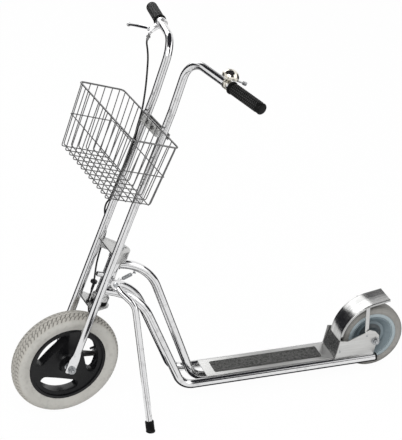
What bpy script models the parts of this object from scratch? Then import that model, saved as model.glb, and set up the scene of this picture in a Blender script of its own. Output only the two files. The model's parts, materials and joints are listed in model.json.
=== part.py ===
# Industrial kick scooter with a front basket, a drum brake and a side stand.
#
# Lengths are in metres. The scooter is built upright: +X forward, +Y left, +Z up, the ground at
# Z = 0 and the front axle above X = 0. One empty then leans all of it onto its stand.
# The steered pieces sit under an empty on the steering axis: x forward of the axis, y left and z up
# the axis from the level of the front axle. A wheel's pieces are turned about its own Y axis.

import math

import bmesh
import bpy
from mathutils import Matrix, Vector

for leftover in list(bpy.data.objects):
    bpy.data.objects.remove(leftover)

# Stance
LEAN = math.radians(3.0)
HEAD_ANGLE = math.radians(71.05)
STEER_TURN = math.radians(6.7)
WHEELBASE = 0.9315

# Gap between pieces that seat on each other, running clearance of a pin or axle in its hole
SEAT = 0.0003
RUN = 0.0003

# Facets round a tube, a wheel, a small pin and along a bend
TUBE_SIDES = 12
WHEEL_SIDES = 28
HUB_SIDES = 14
PIN_SIDES = 10
BEND_STEPS = 4

# Front wheel
FRONT_RADIUS = 0.156
FRONT_WIDTH = 0.057
FRONT_RIM_RADIUS = 0.112
FRONT_RIM_WIDTH = 0.042
FRONT_LIP = 0.009
FRONT_WEB = 0.026
FRONT_WINDOW_RADIUS = 0.098
FRONT_WINDOW_CHORD = 0.046
FRONT_HUB_RADIUS = 0.024
FRONT_HUB_OUT = 0.030

# Rear wheel
REAR_RADIUS = 0.100
REAR_WIDTH = 0.050
REAR_RIM_RADIUS = 0.076
REAR_RIM_WIDTH = 0.044
REAR_WEB = 0.014
REAR_HUB_RADIUS = 0.021
REAR_HUB_WIDTH = 0.056

# Axles, nuts and bearings
AXLE_RADIUS = 0.005
NUT_RADIUS = 0.0095
NUT_HEIGHT = 0.0075
BEARING_RADIUS = 0.013
BEARING_WIDTH = 0.009
AXLE_TAIL = 0.004

# Steering tubes, each one piece from the front axle to the grip
FORK_RAKE = 0.0314
FORK_FORWARD = 0.038
FORK_SIDE = 0.054
FORK_TUBE_RADIUS = 0.011
DROPOUT_SIDE = 0.048
DROPOUT_FORWARD = 0.0345
DROPOUT_WIDTH = 0.029
DROPOUT_THICK = 0.0052
DROPOUT_TOP = 0.030
DROPOUT_TAIL = 0.011
FORK_NECK = 0.062
BAR_SWAY = 0.800
BAR_CORNER_FORWARD = 0.046
BAR_HEIGHT = 0.949
BAR_BEND_RADIUS = 0.056
BAR_TIP_FORWARD = -0.0238
BAR_TIP_SIDE = 0.331
BAR_TIP_DROP = 0.002
GRIP_LENGTH = 0.118
GRIP_RADIUS = 0.0155
GRIP_COLLAR_RADIUS = 0.0185
GRIP_COLLAR = 0.005
GRIP_END = 0.003

# Head tube, its bearings and the two yokes that join the steering tubes
HEAD_RADIUS = 0.019
HEAD_BORE = 0.015
HEAD_BOTTOM = 0.224
HEAD_TOP = 0.345
LOWER_YOKE = 0.190
LOWER_YOKE_THICK = 0.005
UPPER_YOKE = 0.368
UPPER_YOKE_THICK = 0.004
YOKE_FRONT = 0.046
YOKE_REAR_RADIUS = 0.030
YOKE_SIDE = 0.050
YOKE_SIDE_BACK = 0.026
SKIRT_DEPTH = 0.031
SKIRT_WALL = 0.003
YOKE_HOLE_BACK = 0.0175
YOKE_HOLE_RADIUS = 0.0035
CUP_RADIUS = 0.0245
SEAL_HEIGHT = 0.007
STEM_RADIUS = 0.008
STEM_HEAD_RADIUS = 0.0125
STEM_HEAD = 0.008
STUB_LEVEL = 0.278
STUB_RADIUS = 0.0075
STUB_REACH = 0.0355

# Frame tubes
FRAME_TUBE_RADIUS = 0.0125
RAIL_SIDE = 0.0466
RAIL_HEIGHT = 0.045
RAIL_PAST_AXLE = 0.0005
RAIL_REAR = WHEELBASE + RAIL_PAST_AXLE
RAIL_WALL = 0.002
CAP_LENGTH = 0.0085
CAP_PLUG = 0.010
TOP_TUBE_LEVEL = 0.4435
TOP_TUBE_CORNER = 0.2317
TOP_TUBE_CORNER_HEIGHT = 0.4286
TOP_TUBE_BEND = 0.130
TOP_TUBE_FOOT = 0.3805
TOP_TUBE_FOOT_HEIGHT = 0.036
TOP_TUBE_END = 0.440
SIDE_TUBE_LEVEL = 0.373
SIDE_TUBE_START = 0.015
SIDE_TUBE_CORNER = 0.1968
SIDE_TUBE_CORNER_SIDE = 0.038
SIDE_TUBE_CORNER_HEIGHT = 0.3574
SIDE_TUBE_BEND = 0.140
SIDE_TUBE_FOOT = 0.3327
FOOT_BEND = 0.052

# Deck
DECK_FRONT = 0.410
DECK_TYRE_GAP = 0.0265
DECK_REAR = WHEELBASE - REAR_RADIUS - DECK_TYRE_GAP
DECK_HALF_WIDTH = 0.0435
DECK_SHEET = 0.002
DECK_LIP = 0.006
MAT_FRONT_INSET = 0.029
MAT_REAR_INSET = 0.033
MAT_HALF_WIDTH = 0.027
MAT_THICK = 0.0016
CROSS_SHEET = 0.003
CROSS_DROP = 0.032
CROSS_FLANGE = 0.025

# Rear bracket and mudguard
CHEEK_SHEET = 0.003
CHEEK_SIDE = RAIL_SIDE
RISER_SHEET = 0.0025
RISER_RUN = 0.017
RISER_TOP = 0.106
GUARD_CLEARANCE = 0.0085
GUARD_HALF_WIDTH = 0.035
GUARD_SHEET = 0.0016
GUARD_LIP = 0.005
GUARD_TAIL = 0.045
GUARD_FLARE = math.radians(10.0)
GUARD_START = math.radians(4.2)
GUARD_END = math.radians(88.0)
STRAP_WIDTH = 0.012
STRAP_SHEET = 0.003
STRAP_AHEAD = 0.030
STRAP_LAP = 0.022

# Brake drum, plate and shoes, on the right side of the front wheel
DRUM_RADIUS = 0.0415
DRUM_BORE = 0.0375
DRUM_DEPTH = 0.022
DRUM_WEB = 0.003
DRUM_FACE = 0.024
BRAKE_PLATE_SHEET = 0.0035
SHOE_RADIUS = 0.0362
SHOE_INNER = 0.026
SHOE_WIDTH = 0.012
SHOE_PIVOT = 0.0285
SHOE_PIVOT_RADIUS = 0.004
SHOE_END_GAP = 0.0055
CAM_SHAFT_RADIUS = 0.005
CAM_HALF_WIDTH = 0.0055
ARM_SHEET = 0.004
ARM_LENGTH = 0.074
ARM_WIDTH = 0.011
ARM_TILT = math.radians(25.0)
TORQUE_BOSS_UP = 0.060
CABLE_STOP = Vector((-0.097, -0.034, 0.010))
CABLE_STOP_HEIGHT = 0.014
CABLE_STOP_RADIUS = 0.0045

# Brake lever
LEVER_FROM_TIP = 0.140
LEVER_DOWN = math.radians(46.0)
LEVER_PIVOT_OUT = 0.036
LEVER_PIVOT_IN = 0.004
LEVER_EYE = 0.0065
CLAMP_WALL = 0.004
CLAMP_WIDTH = 0.016
BRACKET_HALF = 0.009
LEVER_ROOT_HALF = 0.004
LEVER_PIN_RADIUS = 0.0027
ADJUSTER_IN = 0.015
ADJUSTER_OUT = 0.038
ADJUSTER_RADIUS = 0.0045
ADJUSTER_LENGTH = 0.024
ADJUSTER_BORE = 0.010

# Brake cable and its clip
CABLE_RADIUS = 0.0025
CABLE_ROOM = 0.001
CABLE_HOLE_RADIUS = 0.005
CABLE_HOLE = Vector((0.010, -0.036, 0.0))
CLIP_PLACE = Vector((0.037, -0.001, 0.254))
CLIP_RADIUS = 0.0095
CLIP_THICK = 0.009
POST_RADIUS = 0.0025

# Bell
BELL_FROM_TIP = 0.135
BELL_RADIUS = 0.0225
BELL_HEIGHT = 0.018
BELL_WALL = 0.0012
BELL_BAND = 0.012
BELL_BAND_WALL = 0.0025
BELL_BASE_RADIUS = 0.0228
BELL_BASE_THICK = 0.003
BELL_STAND_OFF = 0.006
BELL_PIVOT = Vector((0.012, 0.011, 0.0))
BELL_KNOB = Vector((0.0276, 0.0282, 0.0))
BELL_KNOB_RADIUS = 0.006
BELL_LEVER_THICK = 0.0025

# Basket
BASKET_BACK = 0.058
BASKET_FRONT = 0.1935
BASKET_TOP = 0.748
BASKET_FLOOR = 0.570
BASKET_TOP_HALF = 0.178
BASKET_FLOOR_HALF = 0.161
BASKET_CORNER = 0.012
RIM_WIRE = 0.0023
WIRE = 0.0014
WIRE_TURN_UP = 0.006
WIRE_BEND = 0.0045
CROSS_WIRES = 12
CROSS_SHARE = 0.93
LONG_WIRES = 6
MOUNT_TOP = 0.741
MOUNT_HEIGHT = 0.022
MOUNT_HALF_WIDTH = 0.051
MOUNT_SHEET = 0.0025
MOUNT_BOLT_SIDE = 0.017
MOUNT_BOLT_RADIUS = 0.003
MOUNT_HEAD_RADIUS = 0.0055
MOUNT_HEAD = 0.0035
CLAMP_PLATE_SHEET = 0.003
CLAMP_PLATE_HEIGHT = 0.016

# Side stand and its spring
STAND_PIVOT = Vector((-0.131, 0.031, 0.396))
STAND_AXIS = Vector((0.26, 0.88, 0.34)).normalized()
STAND_TUBE_RADIUS = 0.009
STAND_BEND = Vector((-0.172, 0.080, 0.352))
STAND_UPPER_BEND = 0.018
STAND_LOWER_BEND = 0.045
STAND_FOOT = Vector((-0.195, 0.190, 0.0))
STAND_EYE_RADIUS = 0.013
STAND_EYE_HALF = 0.004
STAND_BOLT_RADIUS = 0.004
STAND_BOLT_HEAD = 0.0075
BOSS_RADIUS = 0.009
FOOT_LENGTH = 0.030
FOOT_WALL = 0.003
STAND_OVER_TUBE = Vector((-0.141, 0.051, 0.381))
STAND_HOOK_BACK = 0.018
STAND_HOOK_RADIUS = 0.0018
STAND_HOOK_LENGTH = 0.009
SPRING_WIRE_RADIUS = 0.0008
SPRING_RADIUS = 0.0045
SPRING_CURLS = 14
CURL_POINTS = 9
SPRING_LENGTH = 0.036
SPRING_EYE = Vector((-0.193, 0.0, 0.4075))
SPRING_EYE_RADIUS = 0.002


# Small tools for making and placing the pieces


def holder(name, parent=None, location=(0.0, 0.0, 0.0), turn=(0.0, 0.0, 0.0)):
    frame = bpy.data.objects.new(name, None)
    bpy.context.collection.objects.link(frame)
    frame.parent = parent
    frame.location = location
    frame.rotation_euler = turn
    return frame


def finish(name, colour, metallic, roughness):
    surface = bpy.data.materials.new(name)
    surface.use_nodes = True
    shader = surface.node_tree.nodes["Principled BSDF"]
    shader.inputs["Base Color"].default_value = (*colour, 1.0)
    shader.inputs["Metallic"].default_value = metallic
    shader.inputs["Roughness"].default_value = roughness
    return surface


def piece(name, shape, surface, parent, location=(0.0, 0.0, 0.0), turn=(0.0, 0.0, 0.0), sharp=35.0):
    """One named object from a bmesh, shaded smooth up to its sharp edges."""
    bmesh.ops.recalc_face_normals(shape, faces=shape.faces)
    mesh = bpy.data.meshes.new(name)
    shape.to_mesh(mesh)
    shape.free()
    mesh.materials.append(surface)
    mesh.shade_smooth()
    mesh.set_sharp_from_angle(angle=math.radians(sharp))
    made = bpy.data.objects.new(name, mesh)
    bpy.context.collection.objects.link(made)
    made.parent = parent
    made.location = location
    made.rotation_euler = turn
    return made


def combine(target, tools, operation):
    """Boolean of a piece with helper shapes that stand in the piece's own coordinates."""
    for shape in tools:
        name = f"{target.name}_{operation.lower()}_{len(target.modifiers)}"
        helper = piece(name, shape, target.data.materials[0], target.parent)
        helper.location = target.location
        helper.rotation_euler = target.rotation_euler
        helper.hide_render = True
        helper.display_type = "WIRE"
        step = target.modifiers.new(name, "BOOLEAN")
        step.operation = operation
        step.object = helper
    return target


def cut(target, *tools):
    return combine(target, tools, "DIFFERENCE")


def weld(target, *tools):
    return combine(target, tools, "UNION")


def facing(direction):
    """Rotation that carries +Z onto a direction."""
    return Vector(direction).to_track_quat("Z", "Y").to_euler()


def moved(shape, location=(0.0, 0.0, 0.0), turn=None):
    """The same bmesh, turned by an Euler rotation and then moved."""
    if turn:
        shape.transform(turn.to_matrix().to_4x4())
    shape.transform(Matrix.Translation(Vector(location)))
    return shape


def lofted(sections, ring=False):
    """Skin through sections with equal numbers of points, closed by flat ends or into a ring."""
    shape = bmesh.new()
    rows = [[shape.verts.new(point) for point in section] for section in sections]
    count = len(rows[0])
    pairs = list(zip(rows, rows[1:]))
    if ring:
        pairs.append((rows[-1], rows[0]))
    for low, high in pairs:
        for index in range(count):
            after = (index + 1) % count
            shape.faces.new((low[index], low[after], high[after], high[index]))
    if not ring:
        shape.faces.new(rows[0])
        shape.faces.new(rows[-1])
    return shape


def turned(profile, sides):
    """A closed profile of (radius, height) points turned about Z; points on the axis become poles."""
    shape = bmesh.new()
    rows = []
    for radius, height in profile:
        if radius < 1e-7:
            rows.append([shape.verts.new((0.0, 0.0, height))])
            continue
        angles = [2.0 * math.pi * index / sides for index in range(sides)]
        rows.append([shape.verts.new((radius * math.cos(a), radius * math.sin(a), height)) for a in angles])
    for low, high in zip(rows, rows[1:] + rows[:1]):
        for index in range(sides):
            after = (index + 1) % sides
            if len(low) == 1 and len(high) == 1:
                break
            if len(low) == 1:
                shape.faces.new((low[0], high[after], high[index]))
            elif len(high) == 1:
                shape.faces.new((low[index], low[after], high[0]))
            else:
                shape.faces.new((low[index], low[after], high[after], high[index]))
    return shape


def rod(radius, low, high, sides=PIN_SIDES, edge=0.0, offset=0.0):
    """A solid cylinder along Z, with chamfered ends where an edge is given."""
    rows = [(radius, low), (radius, high)]
    if edge:
        rows = [(radius - edge, low), (radius, low + edge), (radius, high - edge), (radius - edge, high)]
    sections = []
    for reach, height in rows:
        def point(angle):
            return Vector((reach * math.cos(angle), reach * math.sin(angle), height))

        sections.append(ring_of(point, sides, offset))
    return lofted(sections)


def sleeve(inner, outer, low, high, sides=PIN_SIDES):
    """A cylinder along Z with a bore."""
    return turned([(inner, low), (outer, low), (outer, high), (inner, high)], sides)


def slab(outline, low, high):
    """A flat outline in X and Y, raised along Z."""
    sections = [[(x, y, height) for x, y in outline] for height in (low, high)]
    return lofted(sections)


def upright_slab(outline, low, high):
    """A flat outline in X and Z, raised along Y."""
    sections = [[(x, side, z) for x, z in outline] for side in (low, high)]
    return lofted(sections)


def block(low, high):
    outline = [(low[0], low[1]), (high[0], low[1]), (high[0], high[1]), (low[0], high[1])]
    return slab(outline, low[2], high[2])


def hexagon(radius, low, high):
    return rod(radius, low, high, sides=6, offset=0.13)


def rounded(corners, radii, steps=BEND_STEPS, closed=False):
    """The corners of a line with each one replaced by an arc of its own radius."""
    corners = [Vector(corner) for corner in corners]
    line = []
    for index, (corner, radius) in enumerate(zip(corners, radii)):
        if not radius or (not closed and index in (0, len(corners) - 1)):
            line.append(corner)
            continue
        back = (corners[index - 1] - corner).normalized()
        ahead = (corners[(index + 1) % len(corners)] - corner).normalized()
        half = 0.5 * back.angle(ahead)
        middle = corner + (back + ahead).normalized() * radius / math.sin(half)
        first = corner + back * radius / math.tan(half) - middle
        last = corner + ahead * radius / math.tan(half) - middle
        for step in range(steps + 1):
            line.append(middle + first.slerp(last, step / steps).normalized() * radius)
    return line


def ring_of(shape_at, sides, offset=0.0):
    angles = [2.0 * math.pi * (index + offset) / sides for index in range(sides)]
    return [shape_at(angle) for angle in angles]


def tube(line, radius, sides=TUBE_SIDES, closed=False, up=(0.0, 1.0, 0.0)):
    """A round bar swept along a line of points, mitred at each point."""
    count = len(line)
    sections = []
    side = Vector(up)
    for index, point in enumerate(line):
        before = line[index - 1] if index or closed else point
        after = line[(index + 1) % count] if index + 1 < count or closed else point
        into = (point - before).normalized()
        out = (after - point).normalized()
        if not into.length:
            into = out
        if not out.length:
            out = into
        along = (into + out).normalized()
        stretch = 1.0 / max(along.dot(out), 0.5)
        side = (side - along * side.dot(along)).normalized()
        third = along.cross(side)
        bend = out - into
        bend = bend.normalized() if bend.length > 1e-6 else None

        def spot(angle):
            arm = (side * math.cos(angle) + third * math.sin(angle)) * radius
            if bend:
                arm += bend * arm.dot(bend) * (stretch - 1.0)
            return point + arm

        sections.append(ring_of(spot, sides, 0.5))
    return lofted(sections, ring=closed)


# Places that more than one piece is built from

SINE = math.sin(HEAD_ANGLE)
COSINE = math.cos(HEAD_ANGLE)
HEAD_BASE = Vector((-FORK_RAKE * SINE, 0.0, FRONT_RADIUS - FORK_RAKE * COSINE))
REAR_AXLE = Vector((-WHEELBASE, 0.0, REAR_RADIUS))
LEFT = Vector((0.0, 1.0, 0.0))
ALONG_SIDE = facing(LEFT)
UNDER_UPPER_YOKE = UPPER_YOKE - UPPER_YOKE_THICK
OVER_LOWER_YOKE = LOWER_YOKE + LOWER_YOKE_THICK
DROPOUT_INSIDE = DROPOUT_SIDE - 0.5 * DROPOUT_THICK
DROPOUT_OUTSIDE = DROPOUT_SIDE + 0.5 * DROPOUT_THICK
RAIL_TOP = RAIL_HEIGHT + FRAME_TUBE_RADIUS
DECK_UNDERSIDE = RAIL_TOP + SEAT
DECK_TOP = DECK_UNDERSIDE + DECK_SHEET


def straight_matrix():
    """Places the steering axis in the upright scooter's coordinates."""
    turn = Matrix.Rotation(HEAD_ANGLE - math.radians(90.0), 4, "Y")
    return Matrix.Translation(HEAD_BASE) @ turn


def head_axis_x(height):
    """Where the steering axis is at a height of the upright scooter."""
    return HEAD_BASE.x - (height - HEAD_BASE.z) * COSINE / SINE


bar_corner = Vector((BAR_CORNER_FORWARD, FORK_SIDE, BAR_HEIGHT))
bar_tip = Vector((BAR_TIP_FORWARD, BAR_TIP_SIDE, BAR_HEIGHT - BAR_TIP_DROP))


def on_bar(side, from_tip):
    """Centre of the bar at a distance from its tip, and the outward direction there."""
    outward = (bar_tip - bar_corner).normalized()
    point = bar_tip - outward * from_tip
    flip = Vector((1.0, side, 1.0))
    return point * flip, outward * flip


# Finishes, from the photograph

zinc = finish("bright_zinc", (0.62, 0.63, 0.64), 1.0, 0.28)
sheet = finish("zinc_sheet", (0.55, 0.56, 0.57), 1.0, 0.38)
steel = finish("steel", (0.45, 0.46, 0.47), 1.0, 0.35)
pale_rubber = finish("pale_grey_tyre", (0.36, 0.35, 0.32), 0.0, 0.75)
grey_rubber = finish("grey_tyre", (0.24, 0.235, 0.22), 0.0, 0.75)
black_plastic = finish("black_plastic", (0.012, 0.012, 0.013), 0.0, 0.25)
blue_plastic = finish("blue_grey_plastic", (0.23, 0.29, 0.32), 0.0, 0.45)
black_rubber = finish("black_rubber", (0.015, 0.015, 0.015), 0.0, 0.7)
grit = finish("black_grit", (0.03, 0.03, 0.03), 0.0, 0.95)

# Moving groups

scooter = holder("scooter")
straight = holder("head", scooter, HEAD_BASE, (0.0, HEAD_ANGLE - math.radians(90.0), 0.0))
steering = holder("steering", straight, turn=(0.0, 0.0, STEER_TURN))
front_hub = holder("front_wheel_axis", steering, (FORK_RAKE, 0.0, 0.0))
rear_hub = holder("rear_wheel_axis", scooter, REAR_AXLE)


# Wheels


def tyre_outline(radius, seat, width, foot, flat):
    """Half-round tread over bulging sides, down to a straight foot on the rim."""
    middle = 0.5 * (radius + seat)
    rise = radius - middle
    points = [(seat, -foot), (seat + 0.3 * rise, -0.97 * foot)]
    for step in range(9):
        angle = math.radians(-72.0 + 18.0 * step)
        side = math.sin(angle) * 0.5 * width
        lift = math.copysign(abs(math.cos(angle)) ** flat, math.cos(angle))
        points.append((middle + rise * lift, side))
    return points + [(seat + 0.3 * rise, 0.97 * foot), (seat, foot)]


def front_tyre():
    outline = tyre_outline(FRONT_RADIUS, FRONT_RIM_RADIUS + SEAT, FRONT_WIDTH, 0.5 * FRONT_RIM_WIDTH, 0.9)
    shape = moved(turned(outline, WHEEL_SIDES), turn=ALONG_SIDE)
    piece("front_tyre", shape, pale_rubber, front_hub)


def front_window(centre_angle):
    """A D-shaped opening: an arc inside the rim and a straight chord, with rounded corners."""
    half = math.acos(FRONT_WINDOW_CHORD / FRONT_WINDOW_RADIUS)
    arc = [centre_angle + half * (2.0 * step / 8 - 1.0) for step in range(9)]
    corners = [Vector((math.cos(a), math.sin(a), 0.0)) * FRONT_WINDOW_RADIUS for a in arc]
    radii = [0.007] + [0.0] * 7 + [0.007]
    outline = rounded(corners, radii, 2, closed=True)
    return upright_slab([(point.x, point.y) for point in outline], -FRONT_WIDTH, FRONT_WIDTH)


def front_rim():
    """Moulded rim with a dished web, three windows and a pocket for the brake drum."""
    edge = 0.5 * FRONT_RIM_WIDTH
    web = 0.5 * FRONT_WEB
    inside = FRONT_RIM_RADIUS - FRONT_LIP
    bore = BEARING_RADIUS + SEAT
    pocket = DRUM_RADIUS + SEAT
    deep = DRUM_DEPTH - DRUM_FACE + SEAT
    outline = [
        (bore, deep),
        (pocket, deep),
        (pocket, -DRUM_FACE),
        (pocket + 0.004, -DRUM_FACE),
        (inside, -web - 0.002),
        (inside + 0.001, -edge),
        (FRONT_RIM_RADIUS, -edge),
        (FRONT_RIM_RADIUS, edge),
        (inside + 0.001, edge),
        (inside, web + 0.002),
        (FRONT_WINDOW_CHORD, web - 0.004),
        (FRONT_HUB_RADIUS + 0.004, web),
        (FRONT_HUB_RADIUS, web + 0.004),
        (FRONT_HUB_RADIUS - 0.002, FRONT_HUB_OUT),
        (bore, FRONT_HUB_OUT),
    ]
    shape = moved(turned(outline, WHEEL_SIDES), turn=ALONG_SIDE)
    rim = piece("front_rim", shape, black_plastic, front_hub)
    cut(rim, *[front_window(math.radians(angle)) for angle in (30.0, 150.0, 270.0)])


def bearing(name, parent, side, out):
    """Bearing ring whose outer face is at a distance from the middle of the wheel."""
    low = out - BEARING_WIDTH if side > 0.0 else -out
    outline = [
        (AXLE_RADIUS + RUN, low),
        (BEARING_RADIUS, low),
        (BEARING_RADIUS, low + BEARING_WIDTH),
        (AXLE_RADIUS + RUN, low + BEARING_WIDTH),
    ]
    piece(name, moved(turned(outline, HUB_SIDES), turn=ALONG_SIDE), steel, parent)


def brake_drum():
    """Steel cup pressed into the rim, open to the right, with a web round the axle."""
    back = DRUM_DEPTH - DRUM_FACE
    outline = [
        (BEARING_RADIUS + SEAT, back),
        (BEARING_RADIUS + SEAT, back - DRUM_WEB),
        (DRUM_BORE - 0.002, back - DRUM_WEB),
        (DRUM_BORE, back - DRUM_WEB - 0.002),
        (DRUM_BORE, -DRUM_FACE),
        (DRUM_RADIUS, -DRUM_FACE),
        (DRUM_RADIUS, back),
    ]
    piece("brake_drum", moved(turned(outline, WHEEL_SIDES), turn=ALONG_SIDE), steel, front_hub)


def rear_tyre():
    outline = tyre_outline(REAR_RADIUS, REAR_RIM_RADIUS + SEAT, REAR_WIDTH, 0.5 * REAR_RIM_WIDTH, 0.55)
    shape = moved(turned(outline, WHEEL_SIDES), turn=ALONG_SIDE)
    piece("rear_tyre", shape, grey_rubber, rear_hub)


def rear_rim():
    """Moulded rim with a raised bead, a ring-shaped recess and a stepped hub on each side."""
    edge = 0.5 * REAR_RIM_WIDTH
    web = 0.5 * REAR_WEB
    hub = 0.5 * REAR_HUB_WIDTH
    bore = BEARING_RADIUS + SEAT
    half = [
        (REAR_RIM_RADIUS, edge),
        (REAR_RIM_RADIUS - 0.008, edge),
        (REAR_RIM_RADIUS - 0.012, edge - 0.006),
        (REAR_RIM_RADIUS - 0.022, web),
        (REAR_HUB_RADIUS + 0.013, web),
        (REAR_HUB_RADIUS + 0.004, web + 0.005),
        (REAR_HUB_RADIUS - 0.001, hub),
        (bore, hub),
    ]
    outline = half + [(radius, -height) for radius, height in reversed(half)]
    piece("rear_rim", moved(turned(outline, WHEEL_SIDES), turn=ALONG_SIDE), blue_plastic, rear_hub)


def axle(name, parent, location, hub_out, plate_inside, plate_outside):
    """Axle with a shoulder between each bearing and its plate, and threaded ends past the nuts."""
    end = plate_outside + SEAT + NUT_HEIGHT + AXLE_TAIL
    shoulder = AXLE_RADIUS + 0.003
    start = hub_out + RUN
    stop = plate_inside - SEAT
    half = [(shoulder, start), (shoulder, stop), (AXLE_RADIUS, stop), (AXLE_RADIUS, end)]
    outline = [(0.0, -end)]
    outline += [(radius, -height) for radius, height in reversed(half)]
    outline += [(AXLE_RADIUS, -start), (AXLE_RADIUS, start)]
    outline += half + [(0.0, end)]
    piece(name, moved(turned(outline, PIN_SIDES), turn=ALONG_SIDE), steel, parent, location)


def axle_nut(name, parent, location, side, plate_outside):
    """Hexagon nut with a raised collar, its bore clear of the axle."""
    low = plate_outside + SEAT
    high = low + NUT_HEIGHT
    turn = facing(LEFT * side)
    nut = piece(name, moved(hexagon(NUT_RADIUS, low, high), turn=turn), steel, parent, location)
    cut(nut, moved(rod(AXLE_RADIUS + RUN, low - 0.01, high + 0.01), turn=turn))


# Steering tubes and what they carry


def fork_section(level, forward, side, half_forward, half_side, square):
    """Cross-section of a steering tube, from round (0) to flat with chamfered corners (1)."""

    def spot(angle):
        along = math.cos(angle)
        across = math.sin(angle)
        flat_along = max(-1.0, min(1.0, 1.6 * along))
        flat_across = max(-1.0, min(1.0, 1.6 * across))
        along += (flat_along - along) * square
        across += (flat_across - across) * square
        return Vector((forward + half_forward * along, side + half_side * across, level))

    return ring_of(spot, TUBE_SIDES, 0.5)


def steering_tube(name, side):
    """One tube from the flattened dropout up to the yokes and out along the handlebar."""
    thin = 0.5 * DROPOUT_THICK
    wide = 0.5 * DROPOUT_WIDTH
    round_end = FORK_TUBE_RADIUS
    neck = [
        (-DROPOUT_TAIL, DROPOUT_FORWARD, DROPOUT_SIDE, wide - 0.003, thin, 1.0),
        (0.003 - DROPOUT_TAIL, DROPOUT_FORWARD, DROPOUT_SIDE, wide, thin, 1.0),
        (DROPOUT_TOP, DROPOUT_FORWARD, DROPOUT_SIDE, wide, thin, 1.0),
    ]
    for share in (0.4, 0.75, 1.0):
        level = DROPOUT_TOP + share * (FORK_NECK - DROPOUT_TOP)
        forward = DROPOUT_FORWARD + share * (FORK_FORWARD - DROPOUT_FORWARD)
        across = DROPOUT_SIDE + share * (FORK_SIDE - DROPOUT_SIDE)
        deep = wide + share * (round_end - wide)
        slim = thin + share * (round_end - thin)
        neck.append((level, forward, across, deep, slim, 1.0 - share))
    sections = [fork_section(*row) for row in neck]
    corners = [
        (FORK_FORWARD, FORK_SIDE, BAR_SWAY - 0.02),
        (FORK_FORWARD, FORK_SIDE, BAR_SWAY),
        bar_corner,
        bar_tip,
    ]
    line = rounded(corners, [0.0, 0.0, BAR_BEND_RADIUS, 0.0], 7)
    across = Vector((1.0, 0.0, 0.0))
    for index, point in enumerate(line[1:], 1):
        after = line[index + 1] if index + 1 < len(line) else point
        into = (point - line[index - 1]).normalized()
        out = (after - point).normalized() if after != point else into
        along = (into + out).normalized()
        across = (across - along * across.dot(along)).normalized()
        third = along.cross(across)

        def spot(angle):
            return point + (across * math.cos(angle) + third * math.sin(angle)) * round_end

        sections.append(ring_of(spot, TUBE_SIDES, 0.5))
    shape = lofted(sections)
    shape.transform(Matrix.Diagonal((1.0, side, 1.0, 1.0)))
    made = piece(name, shape, zinc, steering)
    slot = AXLE_RADIUS + RUN
    deep = block((FORK_RAKE - slot, -0.02, -0.03), (FORK_RAKE + slot, 0.02, 0.0))
    hole = moved(rod(slot, -0.02, 0.02), (FORK_RAKE, 0.0, 0.0), ALONG_SIDE)
    place = (0.0, side * DROPOUT_SIDE, 0.0)
    cut(made, moved(deep, place), moved(hole, place))
    return made


def yoke_outline(front, side, side_back, rear):
    """Straight front edge, short sides beside the steering tubes and a round back."""
    distance = math.hypot(side_back, side)
    touch = math.atan2(side, side_back) + math.acos(rear / distance)
    arc = [touch + (2.0 * math.pi - 2.0 * touch) * step / 8 for step in range(9)]
    back = [(rear * math.cos(angle), rear * math.sin(angle)) for angle in arc]
    return [(front, side), (side_back, side)] + back + [(side_back, -side), (front, -side)]


def tube_clearances(low, high):
    """Cutters that leave room for the two steering tubes."""
    seat = FORK_TUBE_RADIUS + SEAT
    places = [(FORK_FORWARD, side * FORK_SIDE, 0.0) for side in (1.0, -1.0)]
    return [moved(rod(seat, low, high, HUB_SIDES), place) for place in places]


def upper_yoke():
    """Pressed cap over the head tube: a flat top and a skirt round the back, open to the front."""
    low = UPPER_YOKE - SKIRT_DEPTH
    outer = yoke_outline(YOKE_FRONT, YOKE_SIDE, YOKE_SIDE_BACK, YOKE_REAR_RADIUS)
    inner = yoke_outline(
        YOKE_FRONT + 0.02,
        YOKE_SIDE - SKIRT_WALL,
        YOKE_SIDE_BACK + SKIRT_WALL,
        YOKE_REAR_RADIUS - SKIRT_WALL,
    )
    yoke = piece("upper_yoke", slab(outer, low, UPPER_YOKE), zinc, steering)
    cut(yoke, slab(inner, low - 0.01, UNDER_UPPER_YOKE), *tube_clearances(low - 0.01, UPPER_YOKE + 0.01))
    stem_hole = rod(STEM_RADIUS + SEAT, low, UPPER_YOKE + 0.01, HUB_SIDES)
    back_hole = moved(rod(YOKE_HOLE_RADIUS, low, UPPER_YOKE + 0.01), (-YOKE_HOLE_BACK, 0.0, 0.0))
    cut(yoke, stem_hole, back_hole)


def lower_yoke():
    """Flat plate between the steering tubes below the head tube, with a hole for the brake cable."""
    outline = yoke_outline(YOKE_FRONT - 0.002, YOKE_SIDE, YOKE_SIDE_BACK, YOKE_REAR_RADIUS)
    yoke = piece("lower_yoke", slab(outline, LOWER_YOKE, OVER_LOWER_YOKE), zinc, steering)
    low = LOWER_YOKE - 0.01
    high = OVER_LOWER_YOKE + 0.01
    hole = moved(rod(CABLE_HOLE_RADIUS, low, high), (CABLE_HOLE.x, CABLE_HOLE.y, 0.0))
    cut(yoke, *tube_clearances(low, high), rod(STEM_RADIUS + SEAT, low, high, HUB_SIDES), hole)


def steering_stem():
    """Bolt through both yokes and the head tube, its hexagon head below the lower yoke."""
    end = UPPER_YOKE + SEAT + STEM_HEAD + 0.003
    head = LOWER_YOKE - SEAT
    stem = piece("steering_stem", rod(STEM_RADIUS, head - 0.5 * STEM_HEAD, end, HUB_SIDES), steel, steering)
    weld(stem, hexagon(STEM_HEAD_RADIUS, head - STEM_HEAD, head))


def stem_nut():
    low = UPPER_YOKE + SEAT
    nut = piece("stem_nut", hexagon(STEM_HEAD_RADIUS, low, low + STEM_HEAD), steel, steering)
    cut(nut, rod(STEM_RADIUS + RUN, low - 0.01, low + STEM_HEAD + 0.01, HUB_SIDES))


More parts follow.
